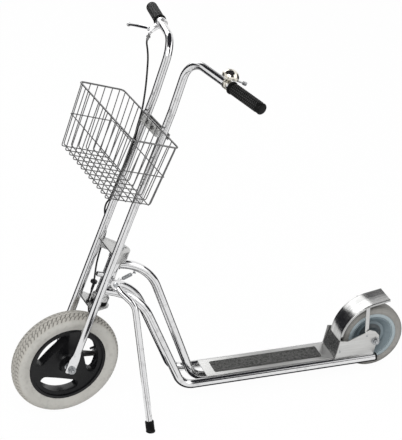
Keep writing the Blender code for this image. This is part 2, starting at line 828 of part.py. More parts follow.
def head_tube():
    """Head tube with a raised collar at each end."""
    collar = HEAD_RADIUS + 0.0015
    outline = [
        (HEAD_BORE, HEAD_BOTTOM),
        (HEAD_RADIUS, HEAD_BOTTOM),
        (HEAD_RADIUS, HEAD_TOP - 0.012),
        (collar, HEAD_TOP - 0.011),
        (collar, HEAD_TOP),
        (HEAD_BORE, HEAD_TOP),
    ]
    head = piece("head_tube", turned(outline, HUB_SIDES), zinc, straight)
    stud = rod(STUB_RADIUS, HEAD_BORE + 0.002, STUB_REACH, edge=0.001)
    into_head = straight_matrix().inverted()
    near = -STAND_EYE_HALF - SEAT
    boss = moved(rod(BOSS_RADIUS, -0.030, near, HUB_SIDES), STAND_PIVOT, facing(STAND_AXIS))
    boss.transform(into_head)
    bolt_hole = rod(STAND_BOLT_RADIUS + SEAT, near - 0.014, 0.01, HUB_SIDES)
    bolt_hole = moved(bolt_hole, STAND_PIVOT, facing(STAND_AXIS))
    bolt_hole.transform(into_head)
    weld(head, moved(stud, (0.0, 0.0, STUB_LEVEL), facing((1.0, 0.0, 0.0))), boss)
    cut(head, rod(HEAD_BORE, HEAD_BOTTOM - 0.02, HEAD_TOP + 0.02, HUB_SIDES), bolt_hole)


def head_bearings():
    """Upper and lower bearing housings, and the black seal on the lower yoke."""
    bore = STEM_RADIUS + RUN
    seal_top = OVER_LOWER_YOKE + SEAT + SEAL_HEIGHT
    low = seal_top + SEAT
    high = HEAD_BOTTOM - SEAT
    lower = [
        (bore, low),
        (CUP_RADIUS - 0.003, low),
        (CUP_RADIUS, low + 0.004),
        (CUP_RADIUS, high - 0.009),
        (CUP_RADIUS - 0.005, high - 0.002),
        (CUP_RADIUS - 0.006, high),
        (bore, high),
    ]
    piece("lower_head_bearing", turned(lower, HUB_SIDES), zinc, straight)
    low = HEAD_TOP + SEAT
    high = UNDER_UPPER_YOKE - SEAT
    upper = [(bore, low), (CUP_RADIUS - 0.003, low), (CUP_RADIUS, low + 0.004), (CUP_RADIUS, high - 0.003)]
    upper += [(CUP_RADIUS - 0.003, high), (bore, high)]
    piece("upper_head_bearing", turned(upper, HUB_SIDES), steel, straight)
    seal = sleeve(bore, CUP_RADIUS - 0.001, OVER_LOWER_YOKE + SEAT, seal_top, HUB_SIDES)
    piece("steering_seal", seal, black_rubber, straight)


def grip(name, side):
    """Rubber sleeve over the end of the bar, with a collar and a closed end."""
    tip, outward = on_bar(side, 0.0)
    bore = FORK_TUBE_RADIUS + SEAT
    outline = [
        (0.0, SEAT),
        (0.0, GRIP_END),
        (GRIP_RADIUS - 0.004, GRIP_END),
        (GRIP_RADIUS, GRIP_END - 0.003),
        (GRIP_RADIUS - 0.0008, -0.5 * GRIP_LENGTH),
        (GRIP_RADIUS, GRIP_COLLAR + 0.004 - GRIP_LENGTH),
        (GRIP_COLLAR_RADIUS, GRIP_COLLAR - GRIP_LENGTH),
        (GRIP_COLLAR_RADIUS, 0.001 - GRIP_LENGTH),
        (GRIP_COLLAR_RADIUS - 0.001, -GRIP_LENGTH),
        (bore, -GRIP_LENGTH),
        (bore, SEAT),
    ]
    piece(name, turned(outline, HUB_SIDES), black_rubber, steering, tip, facing(outward))


# Drum brake


def brake_plate():
    """Fixed plate that closes the drum, with the shoes' pin, the torque boss and the cable stop."""
    inside = -(DRUM_FACE + 0.0008)
    outside = inside - BRAKE_PLATE_SHEET
    place = (FORK_RAKE, 0.0, 0.0)
    disc = DRUM_RADIUS + 0.003
    outline = [(0.0, -inside), (disc - 0.001, -inside), (disc, -inside + 0.001), (disc, -outside)]
    outline += [(0.0, -outside)]
    to_right = facing(-LEFT)
    plate = piece("brake_plate", moved(turned(outline, WHEEL_SIDES), turn=to_right), sheet, steering, place)
    boss = moved(rod(0.010, -inside + 0.001, FRONT_HUB_OUT), turn=to_right)
    pin = moved(rod(SHOE_PIVOT_RADIUS, 0.008, -inside + 0.001), (SHOE_PIVOT, 0.0, 0.0), to_right)
    forward = FORK_FORWARD - FORK_RAKE
    tab = [(forward - 0.008, 0.0), (forward + 0.008, 0.0), (forward + 0.007, TORQUE_BOSS_UP + 0.006)]
    near = inside - 0.0003
    far = outside + 0.0003
    tab = upright_slab(tab + [(forward - 0.007, TORQUE_BOSS_UP + 0.006)], far, near)
    reach = FORK_SIDE - FORK_TUBE_RADIUS - 2.0 * SEAT
    torque = moved(rod(0.0055, -near + 0.001, reach), (forward, 0.0, TORQUE_BOSS_UP), to_right)
    stop = CABLE_STOP
    high = stop.z + CABLE_STOP_HEIGHT
    arm = [(-0.030, -0.004), (-0.030, 0.022), (stop.x - 0.005, high), (stop.x - 0.005, stop.z)]
    arm = upright_slab(arm, far, near)
    link = block((stop.x - 0.003, stop.y, stop.z + 0.001), (stop.x + 0.003, near - 0.001, high - 0.001))
    barrel = moved(rod(CABLE_STOP_RADIUS, stop.z, high), (stop.x, stop.y, 0.0))
    weld(plate, boss, pin, tab, torque, arm, link, barrel)
    bore = moved(rod(AXLE_RADIUS + RUN, -0.01, 0.06), turn=to_right)
    shaft = moved(rod(CAM_SHAFT_RADIUS + RUN, 0.01, 0.06, HUB_SIDES), (-SHOE_PIVOT, 0.0, 0.0), to_right)
    hose = moved(rod(CABLE_RADIUS + CABLE_ROOM, stop.z + 0.004, high + 0.01), (stop.x, stop.y, 0.0))
    wire = moved(rod(0.001, stop.z - 0.01, high), (stop.x, stop.y, 0.0))
    cut(plate, bore, shaft, hose, wire)


def brake_shoe(name, side):
    """Curved shoe with a round seat on the fixed pin at the front and a flat heel at the cam."""
    near = math.radians(4.0)
    arcs = []
    for radius in (SHOE_RADIUS, SHOE_INNER):
        far = math.pi - math.asin(SHOE_END_GAP / radius)
        turns = [near + (far - near) * step / 12 for step in range(13)]
        arcs.append([(radius * math.cos(a), side * radius * math.sin(a)) for a in turns])
    outer, inner = arcs
    high = DRUM_WEB - DRUM_DEPTH + DRUM_FACE + 0.0035
    hinge = holder(f"{name}_axis", steering, (FORK_RAKE + SHOE_PIVOT, 0.0, 0.0))
    shape = upright_slab(outer + inner[::-1], -high - SHOE_WIDTH, -high)
    shoe = piece(name, moved(shape, (-SHOE_PIVOT, 0.0, 0.0)), steel, hinge)
    cut(shoe, moved(rod(SHOE_PIVOT_RADIUS + SEAT, 0.0, 0.05, HUB_SIDES), turn=facing(-LEFT)))


def brake_arm():
    """Lever, shaft and cam in one piece; the cam stands between the heels of the shoes."""
    hinge = holder("brake_arm_axis", steering, (FORK_RAKE - SHOE_PIVOT, 0.0, 0.0))
    inside = DRUM_FACE + 0.0008
    near = inside + BRAKE_PLATE_SHEET + 0.001
    half = 0.5 * ARM_WIDTH
    tip = Vector((-ARM_LENGTH * math.cos(ARM_TILT), -ARM_LENGTH * math.sin(ARM_TILT)))
    across = Vector((-tip.y, tip.x)).normalized()
    outline = [across * half, across * -half, tip - across * 0.7 * half, tip + across * 0.7 * half]
    arm = piece("brake_arm", upright_slab(outline, -near - ARM_SHEET, -near), steel, hinge)
    to_right = facing(-LEFT)
    shaft = moved(rod(CAM_SHAFT_RADIUS, inside - 0.002, near + ARM_SHEET + 0.002, HUB_SIDES), turn=to_right)
    hub = rod(half + 0.002, near - 0.0004, near + ARM_SHEET + 0.001, HUB_SIDES)
    hub = moved(hub, turn=to_right)
    boss = rod(0.7 * half + 0.001, near - 0.0003, near + ARM_SHEET + 0.0005)
    boss = moved(boss, (tip.x, 0.0, tip.y), to_right)
    high = SHOE_END_GAP - SEAT
    cam = block((-CAM_HALF_WIDTH, -inside + 0.001, -high), (CAM_HALF_WIDTH, -0.010, high))
    weld(arm, shaft, hub, boss, cam)
    cut(arm, moved(rod(0.0012, near - 0.01, near + 0.02), (tip.x, 0.0, tip.y), to_right))


# Brake lever


def axes_turn(x_axis, y_axis):
    z_axis = x_axis.cross(y_axis)
    return Matrix((x_axis, y_axis, z_axis)).transposed().to_euler()


def lever_mount():
    """Place on the right bar: X outward along it, Y towards the lever, Z across the lever's sweep."""
    point, outward = on_bar(-1.0, LEVER_FROM_TIP)
    down = Vector((math.cos(LEVER_DOWN), 0.0, -math.sin(LEVER_DOWN)))
    down = (down - outward * down.dot(outward)).normalized()
    return holder("lever_mount", steering, point, axes_turn(outward, down)), outward, down


def lever_bracket(mount, outward, down):
    """Clamp ring, forked bracket with its rivet and the cable adjuster."""
    half = 0.5 * CLAMP_WIDTH
    outer = FORK_TUBE_RADIUS + CLAMP_WALL
    along = facing((1.0, 0.0, 0.0))
    bracket = piece("lever_bracket", moved(rod(outer, -half, half, HUB_SIDES), turn=along), steel, mount)
    reach = LEVER_PIVOT_OUT + 0.008
    left = -ADJUSTER_IN - 0.0055
    wide = half - 0.0005
    outline = [(-wide, 0.008), (wide, 0.008), (wide, 0.028), (0.004, reach), (left, reach)]
    outline += [(left, ADJUSTER_OUT - 0.006), (-wide, 0.026)]
    neck = slab(outline, -BRACKET_HALF, BRACKET_HALF)
    below = Vector((0.0, 0.0, -1.0))
    third = outward.cross(down)
    drop = Vector((below.dot(outward), below.dot(down), below.dot(third)))
    lug = Vector((-ADJUSTER_IN, ADJUSTER_OUT, 0.0))
    hang = facing(drop)
    adjuster = moved(rod(ADJUSTER_RADIUS, 0.0, ADJUSTER_LENGTH), lug, hang)
    ring = moved(rod(ADJUSTER_RADIUS + 0.0015, ADJUSTER_LENGTH - 0.012, ADJUSTER_LENGTH - 0.008), lug, hang)
    weld(bracket, neck, adjuster, ring)
    room = LEVER_ROOT_HALF + RUN
    slot = block((-ADJUSTER_IN + 0.0045, 0.026, -room), (0.03, 0.06, room))
    bar_room = moved(rod(FORK_TUBE_RADIUS + SEAT, -0.02, 0.02, HUB_SIDES), turn=along)
    floor = ADJUSTER_LENGTH - ADJUSTER_BORE
    hose = moved(rod(CABLE_RADIUS + CABLE_ROOM, floor, ADJUSTER_LENGTH + 0.01), lug, hang)
    cut(bracket, slot, bar_room, hose)
    rivet = rod(LEVER_PIN_RADIUS, -BRACKET_HALF - 0.001, BRACKET_HALF + 0.001)
    weld(bracket, moved(rivet, (-LEVER_PIVOT_IN, LEVER_PIVOT_OUT, 0.0)))
    matrix = Matrix((outward, down, third)).transposed()
    return matrix @ (lug + drop * (floor + SEAT)) + mount.location, below


def brake_lever(mount):
    """Curved blade from the forked bracket out to a ball end."""
    hinge = holder("brake_lever_axis", mount, (-LEVER_PIVOT_IN, LEVER_PIVOT_OUT, 0.0))
    line = rounded([(0.0, 0.0, 0.0), (0.020, 0.001, 0.0), (0.060, 0.018, 0.0), (0.106, 0.040, 0.0)],
                   [0.0, 0.030, 0.080, 0.0], 3)
    end = line[-1]
    out = (end - line[-2]).normalized()
    rows = [(point, 0.0035, 0.0040 + 0.0012 * math.sin(math.pi * index / len(line)))
            for index, point in enumerate(line)]
    ball = 0.006
    for turn in (-60.0, -30.0, 0.0, 30.0, 65.0):
        angle = math.radians(turn)
        reach = ball * math.cos(angle)
        rows.append((end + out * ball * (0.9 + math.sin(angle)), reach, reach))
    sections = []
    for index, (point, thin, wide) in enumerate(rows):
        before = rows[max(index - 1, 0)][0]
        after = rows[min(index + 1, len(rows) - 1)][0]
        along = (after - before).normalized()
        side = Vector((-along.y, along.x, 0.0))
        up = Vector((0.0, 0.0, 1.0))

        def spot(angle):
            return point + side * math.cos(angle) * thin + up * math.sin(angle) * wide

        sections.append(ring_of(spot, PIN_SIDES))
    blade = piece("brake_lever", lofted(sections), sheet, hinge)
    room = LEVER_ROOT_HALF - 0.0002
    above = block((-0.02, -0.02, room), (0.012, 0.02, 0.02))
    below = block((-0.02, -0.02, -0.02), (0.012, 0.02, -room))
    cut(blade, above, below)
    weld(blade, rod(LEVER_EYE, -LEVER_ROOT_HALF, LEVER_ROOT_HALF, HUB_SIDES))
    cut(blade, rod(LEVER_PIN_RADIUS + RUN, -0.02, 0.02, HUB_SIDES))


# Brake cable


def smooth_line(points, spacing):
    """Points at an even spacing along a smooth curve through the given ones."""
    padded = [points[0] * 2.0 - points[1]] + points + [points[-1] * 2.0 - points[-2]]
    fine = []
    for first, start, stop, last in zip(padded, padded[1:], padded[2:], padded[3:]):
        for step in range(40):
            t = step / 40.0
            pull = start * 2.0 + (stop - first) * t
            pull += (first * 2.0 - start * 5.0 + stop * 4.0 - last) * t * t
            pull += (start * 3.0 - first - stop * 3.0 + last) * t * t * t
            fine.append(pull * 0.5)
    fine.append(points[-1])
    total = sum((after - before).length for before, after in zip(fine, fine[1:]))
    count = max(2, round(total / spacing))
    line = [fine[0]]
    walked = 0.0
    for before, after in zip(fine, fine[1:]):
        walked += (after - before).length
        if walked >= total * len(line) / count and len(line) < count:
            line.append(after)
    return line + [fine[-1]]


def wire_object(name, line, radius, resolution, surface, parent):
    """A round wire along a line of points, with filled ends."""
    data = bpy.data.curves.new(name, "CURVE")
    data.dimensions = "3D"
    data.bevel_depth = radius
    data.bevel_resolution = resolution
    data.use_fill_caps = True
    spline = data.splines.new("POLY")
    spline.points.add(len(line) - 1)
    for point, place in zip(spline.points, line):
        point.co = (*place, 1.0)
    spline.use_smooth = True
    data.materials.append(surface)
    made = bpy.data.objects.new(name, data)
    bpy.context.collection.objects.link(made)
    made.parent = parent
    return made


def brake_cable(start, below):
    """From the adjuster behind the basket, round the right steering tube and down to the brake."""
    stop = CABLE_STOP + Vector((FORK_RAKE, 0.0, 0.0))
    finish_at = Vector((stop.x, stop.y, stop.z + 0.004 + SEAT))
    route = [
        start,
        start + below * 0.012,
        start + below * 0.022,
        Vector((0.0405, -0.158, 0.878)),
        Vector((0.047, -0.126, 0.848)),
        Vector((0.050, -0.091, 0.800)),
        Vector((0.0512, -0.0660, 0.748)),
        Vector((0.0515, -0.0570, 0.703)),
        Vector((0.0520, -0.0480, 0.655)),
        Vector((0.0525, -0.0490, 0.566)),
        Vector((0.0528, -0.0530, 0.486)),
        Vector((0.0515, -0.0625, 0.462)),
        Vector((0.0440, -0.0700, 0.438)),
        Vector((0.0300, -0.0686, 0.408)),
        Vector((0.0220, -0.0610, 0.380)),
        Vector((0.0225, -0.0560, 0.350)),
        Vector((0.0250, -0.0480, 0.322)),
        Vector((0.0330, -0.0280, 0.296)),
        CLIP_PLACE + Vector((0.001, -0.005, 0.015)),
        CLIP_PLACE,
        CLIP_PLACE + Vector((-0.0015, -0.001, -0.013)),
        Vector((0.0290, -0.0110, 0.226)),
        Vector((0.0150, -0.0300, 0.208)),
        Vector((CABLE_HOLE.x, CABLE_HOLE.y, LOWER_YOKE + 0.002)),
        Vector((0.002, -0.0370, 0.160)),
        Vector((-0.022, -0.0365, 0.110)),
        Vector((-0.055, -0.0350, 0.060)),
        finish_at + Vector((0.0, 0.0, CABLE_STOP_HEIGHT + 0.004)),
        finish_at,
    ]
    line = smooth_line(route, 0.0165)
    wire_object("brake_cable", line, CABLE_RADIUS, 2, black_rubber, steering)


def cable_clip():
    """Round clip that holds the cable above the lower yoke, on a thin post."""
    along = Vector((0.0025, -0.004, 0.028)).normalized()
    clip = piece("cable_clip", rod(CLIP_RADIUS, -0.5 * CLIP_THICK, 0.5 * CLIP_THICK, HUB_SIDES, 0.0015),
                 black_plastic, steering, CLIP_PLACE)
    foot = OVER_LOWER_YOKE + SEAT - CLIP_PLACE.z
    beside = (0.0, CLIP_RADIUS - POST_RADIUS - 0.0005, 0.0)
    post = moved(rod(POST_RADIUS, foot + 0.001, 0.0), beside)
    base = moved(rod(0.005, foot, foot + 0.003), beside)
    weld(clip, post, base)
    cut(clip, moved(rod(CABLE_RADIUS + 1.5 * CABLE_ROOM, -0.03, 0.03, HUB_SIDES), turn=facing(along)))


# Bell


def bell_mount():
    point, outward = on_bar(1.0, BELL_FROM_TIP)
    upward = Vector((0.0, 0.0, 1.0))
    upward = (upward - outward * upward.dot(outward)).normalized()
    return holder("bell_mount", steering, point, axes_turn(outward, upward.cross(outward)))


def bell(mount):
    """Band and base with the lever's pin, the dome on its post, and the thumb lever."""
    half = 0.5 * BELL_BAND
    outer = FORK_TUBE_RADIUS + BELL_BAND_WALL
    low = outer + BELL_STAND_OFF
    high = low + BELL_BASE_THICK
    along = facing((1.0, 0.0, 0.0))
    base = piece("bell_base", moved(rod(outer, -half, half, HUB_SIDES), turn=along), steel, mount)
    foot = rod(0.005, 0.006, low + 0.001)
    disc = rod(BELL_BASE_RADIUS, low, high, WHEEL_SIDES // 2)
    dome_low = high + SEAT
    post = rod(0.003, high - 0.001, dome_low + BELL_HEIGHT - BELL_WALL - 0.0015)
    pin = moved(rod(0.002, low - BELL_LEVER_THICK - 0.0015, low + 0.001), BELL_PIVOT)
    weld(base, foot, disc, post, pin)
    cut(base, moved(rod(FORK_TUBE_RADIUS + SEAT, -0.02, 0.02, HUB_SIDES), turn=along))
    angles = [math.radians(90.0 * step / 5) for step in range(6)]
    outside = [(BELL_RADIUS * math.cos(a), BELL_HEIGHT * math.sin(a)) for a in angles[:-1]]
    inside = [((BELL_RADIUS - BELL_WALL) * math.cos(a), (BELL_HEIGHT - BELL_WALL) * math.sin(a))
              for a in angles[:-1]]
    outline = outside + [(0.0, BELL_HEIGHT), (0.0, BELL_HEIGHT - BELL_WALL)] + inside[::-1]
    piece("bell_dome", turned(outline, WHEEL_SIDES // 2), zinc, mount, (0.0, 0.0, dome_low))
    hinge = holder("bell_lever_axis", mount, BELL_PIVOT)
    knob = BELL_KNOB - BELL_PIVOT
    across = Vector((-knob.y, knob.x, 0.0)).normalized()
    outline = [across * -0.0042, knob - across * 0.003, knob + across * 0.003, across * 0.0042]
    top = low - SEAT
    plate = slab([(point.x, point.y) for point in outline], top - BELL_LEVER_THICK, top)
    lever = piece("bell_lever", plate, steel, hinge)
    eye = rod(0.0045, top - BELL_LEVER_THICK, top, HUB_SIDES)
    button = moved(rod(BELL_KNOB_RADIUS, top - 0.005, top + 0.003, PIN_SIDES, 0.001), knob)
    weld(lever, eye, button)
    cut(lever, rod(0.002 + RUN, 0.0, 0.05, HUB_SIDES))


# Basket


def spread(count, half):
    return [half * (2.0 * index / (count - 1) - 1.0) for index in range(count)]


def wires(name, lines, surface=zinc):
    """Round wires laid across each other and welded where they cross."""
    whole = bmesh.new()
    for line in lines[1:]:
        part = tube([Vector(point) for point in line], WIRE, 4, up=(0.577, 0.577, 0.577))
        bmesh.ops.recalc_face_normals(part, faces=part.faces)
        mesh = bpy.data.meshes.new("wire")
        part.to_mesh(mesh)
        whole.from_mesh(mesh)
        part.free()
        bpy.data.meshes.remove(mesh)
    grille = piece(name, whole, surface, steering)
    weld(grille, tube([Vector(point) for point in lines[0]], WIRE, 4, up=(0.577, 0.577, 0.577)))
    grille.modifiers[-1].use_self = True


def basket():
    low = BASKET_FLOOR + WIRE_TURN_UP + SEAT
    high = BASKET_TOP - RIM_WIRE - SEAT
    middle = 0.5 * (BASKET_TOP + BASKET_FLOOR)
    lap = 1.7 * WIRE
    centre = 0.5 * (BASKET_FRONT + BASKET_BACK)
    cross = spread(CROSS_WIRES, CROSS_SHARE)
    along = [centre + offset for offset in spread(LONG_WIRES, 0.5 * (BASKET_FRONT - BASKET_BACK) - 0.011)]

    def half_at(level):
        share = (level - BASKET_FLOOR) / (BASKET_TOP - BASKET_FLOOR)
        return BASKET_FLOOR_HALF + share * (BASKET_TOP_HALF - BASKET_FLOOR_HALF)

    for name, forward, inward in (("front", BASKET_FRONT, -1.0), ("rear", BASKET_BACK, 1.0)):
        lines = [[(forward, share * half_at(low), low), (forward, share * half_at(high), high)]
                 for share in cross]
        wide = half_at(middle) - 2.2 * WIRE
        lines.append([(forward + inward * lap, -wide, middle), (forward + inward * lap, wide, middle)])
        wires(f"basket_{name}_wires", lines)
    for name, side in (("left", 1.0), ("right", -1.0)):
        lines = [[(x, side * half_at(low), low), (x, side * half_at(high), high)] for x in along]
        inner = side * (half_at(middle) - lap)
        ends = 3.4 * WIRE
        lines.append([(BASKET_BACK + ends, inner, middle), (BASKET_FRONT - ends, inner, middle)])
        wires(f"basket_{name}_wires", lines)
    turn_up = BASKET_FLOOR + WIRE_TURN_UP
    lines = []
    for share in cross:
        side = share * BASKET_FLOOR_HALF
        corners = [(BASKET_BACK, side, turn_up), (BASKET_BACK, side, BASKET_FLOOR)]
        corners += [(BASKET_FRONT, side, BASKET_FLOOR), (BASKET_FRONT, side, turn_up)]
        lines.append(rounded(corners, [0.0, WIRE_BEND, WIRE_BEND, 0.0], 1))
    floor = BASKET_FLOOR + lap
    for x in along:
        corners = [(x, -BASKET_FLOOR_HALF, turn_up), (x, -BASKET_FLOOR_HALF, floor)]
        corners += [(x, BASKET_FLOOR_HALF, floor), (x, BASKET_FLOOR_HALF, turn_up)]
        lines.append(rounded(corners, [0.0, 0.5 * WIRE_BEND, 0.5 * WIRE_BEND, 0.0], 1))
    wires("basket_floor_wires", lines)
    corners = [(BASKET_BACK, -BASKET_TOP_HALF), (BASKET_FRONT, -BASKET_TOP_HALF)]
    corners += [(BASKET_FRONT, BASKET_TOP_HALF), (BASKET_BACK, BASKET_TOP_HALF)]
    line = rounded([(x, y, BASKET_TOP) for x, y in corners], [BASKET_CORNER] * 4, 3, closed=True)
    rim = tube(line, RIM_WIRE, 8, closed=True, up=(0.0, 0.0, 1.0))
    piece("basket_rim", rim, zinc, steering)


def basket_mount():
    """Channel in front of the steering tubes, clamped to them by a plate with two bolts behind."""
    back = FORK_FORWARD + FORK_TUBE_RADIUS + SEAT
    front = BASKET_BACK - WIRE - SEAT
    low = MOUNT_TOP - MOUNT_HEIGHT
    web = back + MOUNT_SHEET
    outline = [(back, low), (front, low), (front, low + MOUNT_SHEET), (web, low + MOUNT_SHEET)]
    outline += [(web, MOUNT_TOP - MOUNT_SHEET), (front, MOUNT_TOP - MOUNT_SHEET), (front, MOUNT_TOP)]
    outline += [(back, MOUNT_TOP)]
    shape = upright_slab(outline, -MOUNT_HALF_WIDTH, MOUNT_HALF_WIDTH)
    channel = piece("basket_bracket", shape, sheet, steering)
    level = MOUNT_TOP - 0.5 * MOUNT_HEIGHT
    rear = FORK_FORWARD - FORK_TUBE_RADIUS - SEAT
    half = 0.5 * CLAMP_PLATE_HEIGHT
    wide = FORK_SIDE + FORK_TUBE_RADIUS
    shape = block((rear - CLAMP_PLATE_SHEET, -wide, level - half), (rear, wide, level + half))
    clamp = piece("basket_clamp", shape, sheet, steering)
    ahead = facing((1.0, 0.0, 0.0))
    for side in (-MOUNT_BOLT_SIDE, MOUNT_BOLT_SIDE):
        place = (0.0, side, level)
        head = web + SEAT
        cut(channel, moved(rod(MOUNT_BOLT_RADIUS + RUN, back - 0.01, head), place, ahead))
        bolt = moved(rod(MOUNT_BOLT_RADIUS, rear - 0.002, head + 0.001), place, ahead)
        cap = moved(hexagon(MOUNT_HEAD_RADIUS, head, head + MOUNT_HEAD), place, ahead)
        nut = moved(hexagon(MOUNT_HEAD_RADIUS, rear - CLAMP_PLATE_SHEET - 0.004, rear - 0.001), place, ahead)
        weld(clamp, bolt, cap, nut)


# Frame


def head_clearance():
    """Cutter for tubes that butt against the head tube, in the scooter's coordinates."""
    shape = rod(HEAD_RADIUS + 0.0015 + SEAT, HEAD_BOTTOM - 0.05, HEAD_TOP + 0.05, HUB_SIDES)
    shape.transform(straight_matrix())
    return shape


def top_tube():
    """Middle tube from the head tube, bent down to the cross member under the deck."""
    corners = [
        (head_axis_x(TOP_TUBE_LEVEL), 0.0, TOP_TUBE_LEVEL),
        (-TOP_TUBE_CORNER, 0.0, TOP_TUBE_CORNER_HEIGHT),
        (-TOP_TUBE_FOOT, 0.0, TOP_TUBE_FOOT_HEIGHT),
        (SEAT - TOP_TUBE_END, 0.0, TOP_TUBE_FOOT_HEIGHT),
    ]
    line = rounded(corners, [0.0, TOP_TUBE_BEND, FOOT_BEND, 0.0], BEND_STEPS)
    made = piece("top_tube", tube(line, FRAME_TUBE_RADIUS), zinc, scooter)
    across = spring_pull().cross(Vector((0.0, 0.0, 1.0)))
    eye = moved(rod(SPRING_EYE_RADIUS, -0.004, 0.004), SPRING_EYE, facing(across))
    web = block((-0.0018, -0.0018, 0.0), (0.0018, 0.0018, 0.010))
    weld(made, eye, moved(web, SPRING_EYE))
    cut(made, head_clearance())


def side_tube(name, side):
    """Outer tube from the side of the head tube down and back along the deck, open at the rear."""
    corners = [
        (head_axis_x(SIDE_TUBE_LEVEL), side * SIDE_TUBE_START, SIDE_TUBE_LEVEL),
        (-SIDE_TUBE_CORNER, side * SIDE_TUBE_CORNER_SIDE, SIDE_TUBE_CORNER_HEIGHT),
        (-SIDE_TUBE_FOOT, side * RAIL_SIDE, RAIL_HEIGHT),
        (-RAIL_REAR, side * RAIL_SIDE, RAIL_HEIGHT),
    ]
    line = rounded(corners, [0.0, SIDE_TUBE_BEND, FOOT_BEND, 0.0], BEND_STEPS + 1)
    made = piece(name, tube(line, FRAME_TUBE_RADIUS), zinc, scooter)
    rear = (-RAIL_REAR, side * RAIL_SIDE, RAIL_HEIGHT)
    bore = rod(FRAME_TUBE_RADIUS - RAIL_WALL, -0.01, CAP_PLUG + 0.004, TUBE_SIDES)
    bore = moved(bore, rear, facing((1.0, 0.0, 0.0)))
    cut(made, head_clearance(), bore)


def rail_cap(name, side):
    """Plastic plug with a rounded head in the open end of a rail."""
    plug = FRAME_TUBE_RADIUS - RAIL_WALL - SEAT
    outline = [
        (0.0, -CAP_PLUG),
        (plug, -CAP_PLUG),
        (plug, SEAT),
        (FRAME_TUBE_RADIUS, SEAT),
        (FRAME_TUBE_RADIUS, 0.5 * CAP_LENGTH),
        (FRAME_TUBE_RADIUS - 0.002, 0.85 * CAP_LENGTH),
        (FRAME_TUBE_RADIUS - 0.006, CAP_LENGTH),
        (0.0, CAP_LENGTH),
    ]
    place = (-RAIL_REAR, side * RAIL_SIDE, RAIL_HEIGHT)
    piece(name, turned(outline, TUBE_SIDES), black_plastic, scooter, place, facing((-1.0, 0.0, 0.0)))


def cross_member():
    """Angle between the rails that the top tube butts against, with a flange under the deck."""
    wide = RAIL_SIDE - FRAME_TUBE_RADIUS - SEAT
    front = -TOP_TUBE_END
    back = front - CROSS_SHEET
    outline = [
        (front, DECK_UNDERSIDE - SEAT - CROSS_DROP),
        (front, DECK_UNDERSIDE - SEAT),
        (front - CROSS_FLANGE, DECK_UNDERSIDE - SEAT),
        (front - CROSS_FLANGE, DECK_UNDERSIDE - SEAT - CROSS_SHEET),
        (back, DECK_UNDERSIDE - SEAT - CROSS_SHEET),
        (back, DECK_UNDERSIDE - SEAT - CROSS_DROP),
    ]
    piece("cross_member", upright_slab(outline, -wide, wide), sheet, scooter)


def deck():
    """Folded sheet over the rails, with its lips turned down between them, and the grit mat."""
    inner = RAIL_SIDE - FRAME_TUBE_RADIUS - SEAT
    low = DECK_UNDERSIDE
    outline = [
        (-DECK_HALF_WIDTH, low),
        (-DECK_HALF_WIDTH, DECK_TOP - 0.0006),
        (0.0006 - DECK_HALF_WIDTH, DECK_TOP),
        (DECK_HALF_WIDTH - 0.0006, DECK_TOP),
        (DECK_HALF_WIDTH, DECK_TOP - 0.0006),
        (DECK_HALF_WIDTH, low),
    ]
    sections = [[(x, y, z) for y, z in outline] for x in (-DECK_REAR, -DECK_FRONT)]
    plate = piece("deck_plate", lofted(sections), sheet, scooter)
    ribs = []
    start = TOP_TUBE_END + CROSS_FLANGE + 0.002
    for side in (-1.0, 1.0):
        first = side * (inner - 0.001)
        second = side * (inner - 0.001 - DECK_SHEET)
        edge = sorted((first, second))
        ribs.append(block((-DECK_REAR, edge[0], low - DECK_LIP), (-start, edge[1], low + 0.001)))
    weld(plate, *ribs)
    bottom = DECK_TOP + SEAT
    top = bottom + MAT_THICK
    front = -DECK_FRONT - MAT_FRONT_INSET
    rear = -DECK_REAR + MAT_REAR_INSET
    outline = [(rear, -MAT_HALF_WIDTH), (front, -MAT_HALF_WIDTH)]
    outline += [(front, MAT_HALF_WIDTH), (rear, MAT_HALF_WIDTH)]
    line = rounded([(x, y, 0.0) for x, y in outline], [0.004] * 4, 2, closed=True)
    piece("deck_mat", slab([(point.x, point.y) for point in line], bottom, top), grit, scooter)


def rear_bracket():
    """Two cheeks with open dropouts, joined by the sloping riser and its foot behind the deck."""
    axle_x = REAR_AXLE.x
    axle_z = REAR_AXLE.z
    foot = DECK_UNDERSIDE
    outline = [
        (-DECK_REAR - 0.001, foot),
        (-DECK_REAR - 0.012, axle_z + 0.016),
        (-DECK_REAR - 0.037, axle_z + 0.012),
        (axle_x + 0.036, axle_z + 0.033),
        (axle_x + 0.023, axle_z + 0.041),
        (axle_x + 0.004, axle_z + 0.034),
        (axle_x - 0.009, axle_z + 0.019),
        (axle_x - 0.010, axle_z + 0.006),
        (axle_x - 0.003, axle_z - 0.010),
        (axle_x + 0.003, foot),
    ]
    inside = CHEEK_SIDE - 0.5 * CHEEK_SHEET
    outside = CHEEK_SIDE + 0.5 * CHEEK_SHEET
    bracket = piece("rear_bracket", upright_slab(outline, inside, outside), sheet, scooter)
    other = upright_slab(outline, -outside, -inside)
    bottom = -DECK_REAR - 0.001
    top = -DECK_REAR - RISER_RUN
    wide = inside + 0.001
    narrow = GUARD_HALF_WIDTH + 0.002
    rows = [(bottom, wide, foot), (top, narrow, RISER_TOP)]
    sections = []
    for x, y, z in rows:
        sections.append([(x, -y, z), (x, y, z), (x - RISER_SHEET, y, z), (x - RISER_SHEET, -y, z)])
    flange = block((bottom - 0.022, -wide, foot), (bottom, wide, foot + RISER_SHEET))
    weld(bracket, other, lofted(sections), flange)
    slot = AXLE_RADIUS + RUN
    place = (axle_x, 0.0, axle_z)
    hole = moved(rod(slot, -0.06, 0.06), place, ALONG_SIDE)
    mouth = block((-0.03, -0.06, -slot), (0.0, 0.06, slot))
    mouth.transform(Matrix.Rotation(math.radians(-20.0), 4, "Y"))
    cut(bracket, hole, moved(mouth, place))


